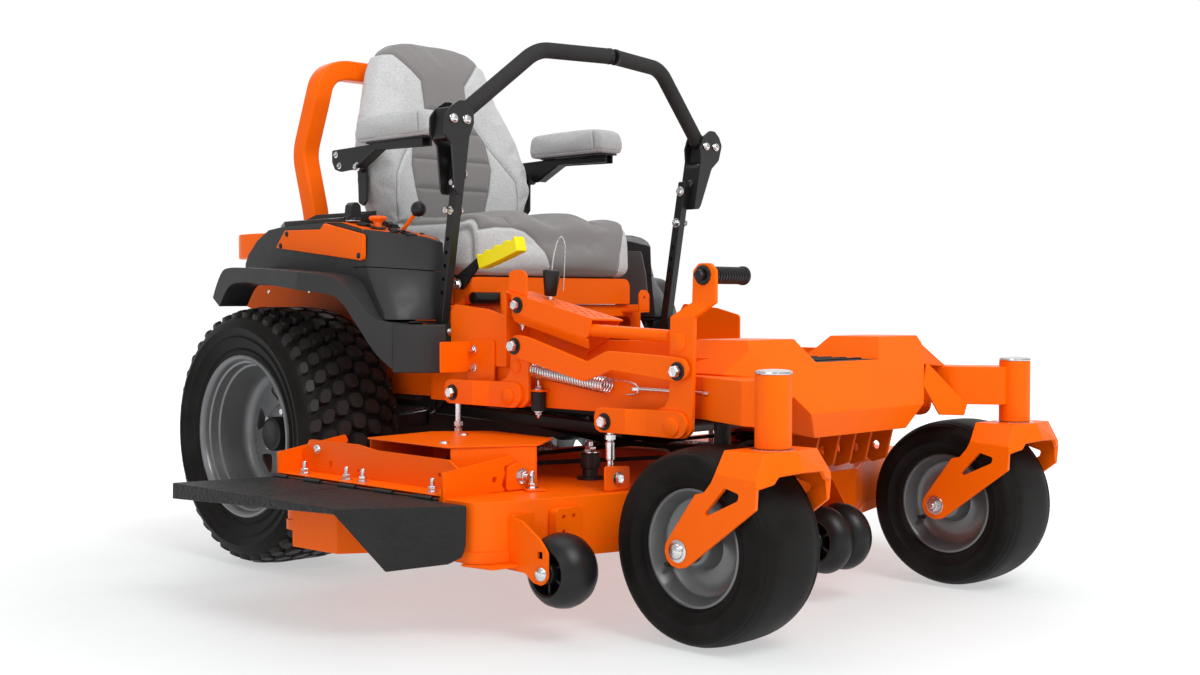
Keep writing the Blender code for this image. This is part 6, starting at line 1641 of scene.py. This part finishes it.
# dark running gear between the frame and the deck
shield_holes = [fillet([(x - .030, .290), (x + .030, .290), (x + .030, .350), (x - .030, .350)], .012) for x in (-.20, 0.0, .20)]
put("rear_shield", prism("y", fillet([(-.292, .2380), (.292, .2380), (.292, .3990), (-.292, .3990)], .012), -.1700, -.1650, shield_holes), "chassis", "black_steel", bevel=.001)
put("rear_shield_lining", prism("y", fillet([(-.285, .2450), (.285, .2450), (.285, .3950), (-.285, .3950)], .010), -.1600, -.1570), "chassis", "engine_black", bevel=.0008)
for side, s in SIDES:
    put("drag_link_" + side, join(sweep([(s * .232, -.280, .338), (s * .232, -.820, .322)], round_square(.010, .003, 3, .0125), (0, 0, 1)), sweep([(s * .190, -.250, .352), (s * .190, -.900, .346)], round_square(.008, .002, 3, .008), (0, 0, 1))),
        "chassis", "black_steel", bevel=0)
    put("idler_spring_" + side, join(coil((s * .150, -.350, .2600), (s * .150, -.560, .2600), .0095, .0014, 30), rod((s * .150, -.345, .2600), (s * .150, -.320, .2600), .0018, 8)), "deck", "zinc_steel", bevel=0)
    put("hydro_hose_" + side, join(pipe(curve_pts([(s * .170, -.074, .338), (s * .170, -.160, .356), (s * .120, -.240, .352), (s * .060, -.300, .390), (s * .060, -.358, .402)], .04, 8), .0095, 16),
        pipe(curve_pts([(s * .240, -.080, .330), (s * .250, -.150, .345), (s * .258, -.260, .345), (s * .258, -.310, .346), (s * .258, -.336, .376)], .03, 8), .0075, 16),
        lathe((s * .258, -.3315, .3700), (0, -.5, .85), [(.0078, -.014), (.0105, -.013), (.0105, .002), (.0078, .003)], 24)), "chassis", "belt", bevel=0)
    put("brake_rod_" + side, rod((s * .270, -.060, .300), (s * .270, -.300, .340), .0042, 12), "chassis", "zinc_steel", bevel=0)
    put("brake_tab_" + side, prism("x", fillet([(-.270, .370), (-.322, .370), (-.314, .336), (-.300, .328), (-.288, .334)], .005), *span(s, .2655, .2735)), "chassis", "black_steel", bevel=.0008)
    put("drag_hanger_" + side, join(prism("x", fillet([(-.790, .4420), (-.826, .4420), (-.826, .318), (-.800, .312), (-.790, .326)], .004), *span(s, .2275, .2365)),
        prism("x", fillet([(-.262, .368), (-.306, .368), (-.300, .330), (-.268, .330)], .004), *span(s, .2275, .2365)),
        prism("x", fillet([(-.872, .4420), (-.906, .4420), (-.906, .340), (-.872, .340)], .004), *span(s, .1865, .1935)),
        prism("y", sx(s, fillet([(.178, .4500), (.202, .4500), (.200, .338), (.180, .338)], .004)), -.3905, -.3855)), "chassis", "black_steel", bevel=.0008)
put("hose_block", join(box(-.090, .090, -.3920, -.3520, .3780, .4460), *[lathe((s * .060, -.3520, .4010), (0, 1, .2), [(.0100, -.004), (.0150, -.003), (.0150, .008), (.0125, .011), (.0100, .011)], 6) for s in (-1, 1)]),
    "chassis", "black_plastic", bevel=.0020)
put("spindle_post", lathe((-.288, -.800, 0), (0, 0, 1), [(.0100, .2320), (.0250, .2320), (.0250, .2370), (.0150, .2380), (.0145, .2520), (.0170, .2540), (.0170, .2800), (.0140, .2830), (.0100, .2830)], 32), "deck", "engine_black", bevel=0)
for i in range(8):
    a = 2 * pi * i / 8
    bolt("deck", rod((-.288 + .0168 * cos(a), -.800 + .0168 * sin(a), .2545), (-.288 + .0168 * cos(a), -.800 + .0168 * sin(a), .2795), .0016, 8), "engine_black")
bolt("deck", nut((-.288, -.800, .2830), (0, 0, 1), .0120, .0100, .010))

# =====================================================================  fasteners, then stage
for (body, finish), items in FAST.items():
    put("fasteners_%s_%s" % (body, finish), join(*items), body, finish, bevel=0)

scene = bpy.context.scene
scene.view_settings.view_transform = "Standard"
scene.view_settings.look = "None"
scene.view_settings.exposure = 0.0
scene.view_settings.gamma = 1.0

TH, PITCH = .7818, .0251
cam = bpy.data.cameras.new("camera")
cam.sensor_width, cam.lens = 36.0, 44.53
cam.clip_start, cam.clip_end = .05, 60
co_ = bpy.data.objects.new("camera", cam)
co_.location = (-2.1596, -2.3326, .5696)
co_.rotation_euler = V((cos(TH) * cos(PITCH), sin(TH) * cos(PITCH), -sin(PITCH))).to_track_quat("-Z", "Y").to_euler()
scene.collection.objects.link(co_)
scene.camera = co_


def lamp(name, loc, target, size, power, colour=(1, 1, 1)):
    l = bpy.data.lights.new(name, "AREA")
    l.shape, l.size, l.energy, l.color = "DISK", size, power, colour
    o = bpy.data.objects.new(name, l)
    o.location = loc
    o.rotation_euler = (V(target) - V(loc)).to_track_quat("-Z", "Y").to_euler()
    scene.collection.objects.link(o)


lamp("key", (-.80, -3.30, 3.60), (0, -.2, .45), 2.2, 111)
lamp("fill", (-3.60, -1.40, 2.00), (0, 0, .5), 2.2, 14)
lamp("top", (-.2, .2, 4.20), (0, 0, .4), 3.0, 30)
lamp("back", (1.6, 3.4, 2.6), (0, 0, .6), 2.2, 16)
world = bpy.data.worlds.new("studio")
scene.world = world
world.use_nodes = True
wt = world.node_tree
bg = wt.nodes["Background"]
bg.inputs["Color"].default_value = (1, 1, 1, 1)
# a white backdrop on the far side of the studio, a dimmer room on the near side
wd = node(wt, "ShaderNodeVectorMath", operation="DOT_PRODUCT")
wt.links.new(node(wt, "ShaderNodeTexCoord").outputs["Generated"], wd.inputs[0])
wd.inputs[1].default_value = (.71, .705, 0)
wr = node(wt, "ShaderNodeMapRange")
wr.inputs["From Min"].default_value, wr.inputs["From Max"].default_value = .50, .72
wr.inputs["To Min"].default_value, wr.inputs["To Max"].default_value = .56, 1.02
wt.links.new(wd.outputs["Value"], wr.inputs["Value"])
wt.links.new(wr.outputs["Result"], bg.inputs["Strength"])

floor = bpy.data.objects.new("floor", bpy.data.meshes.new("floor"))
fb = bmesh.new()
bmesh.ops.create_grid(fb, x_segments=2, y_segments=2, size=14)
fb.to_mesh(floor.data)
fb.free()
floor.location = (0, 0, -.0006)
scene.collection.objects.link(floor)
# floor: base colour tinted cool against the orange bounce, and a glow from emission .49 near the machine rising to 1.0
# far out; this glow is painted light that thins the shadows and blends the floor into the white backdrop
fm, ft, fbs, fco = start("floor", spec=.25)
ft.links.new(ramp(ft, noise(ft, fco, 3.0, 3.0), (.338, .358, .360), (.358, .378, .380)), fbs.inputs["Base Color"])
ft.links.new(spread(ft, noise(ft, fco, 30.0, 3.0), .62, .78), fbs.inputs["Roughness"])
fl = node(ft, "ShaderNodeVectorMath", operation="LENGTH")
ft.links.new(fco, fl.inputs[0])
fr = node(ft, "ShaderNodeMapRange", interpolation_type="SMOOTHSTEP")
fr.inputs["From Min"].default_value, fr.inputs["From Max"].default_value = 0.65, 2.4
fr.inputs["To Min"].default_value, fr.inputs["To Max"].default_value = 0.49, 1.0
ft.links.new(fl.outputs["Value"], fr.inputs["Value"])
fbs.inputs["Emission Color"].default_value = (1, 1, 1, 1)
ft.links.new(fr.outputs["Result"], fbs.inputs["Emission Strength"])
floor.data.materials.append(fm)
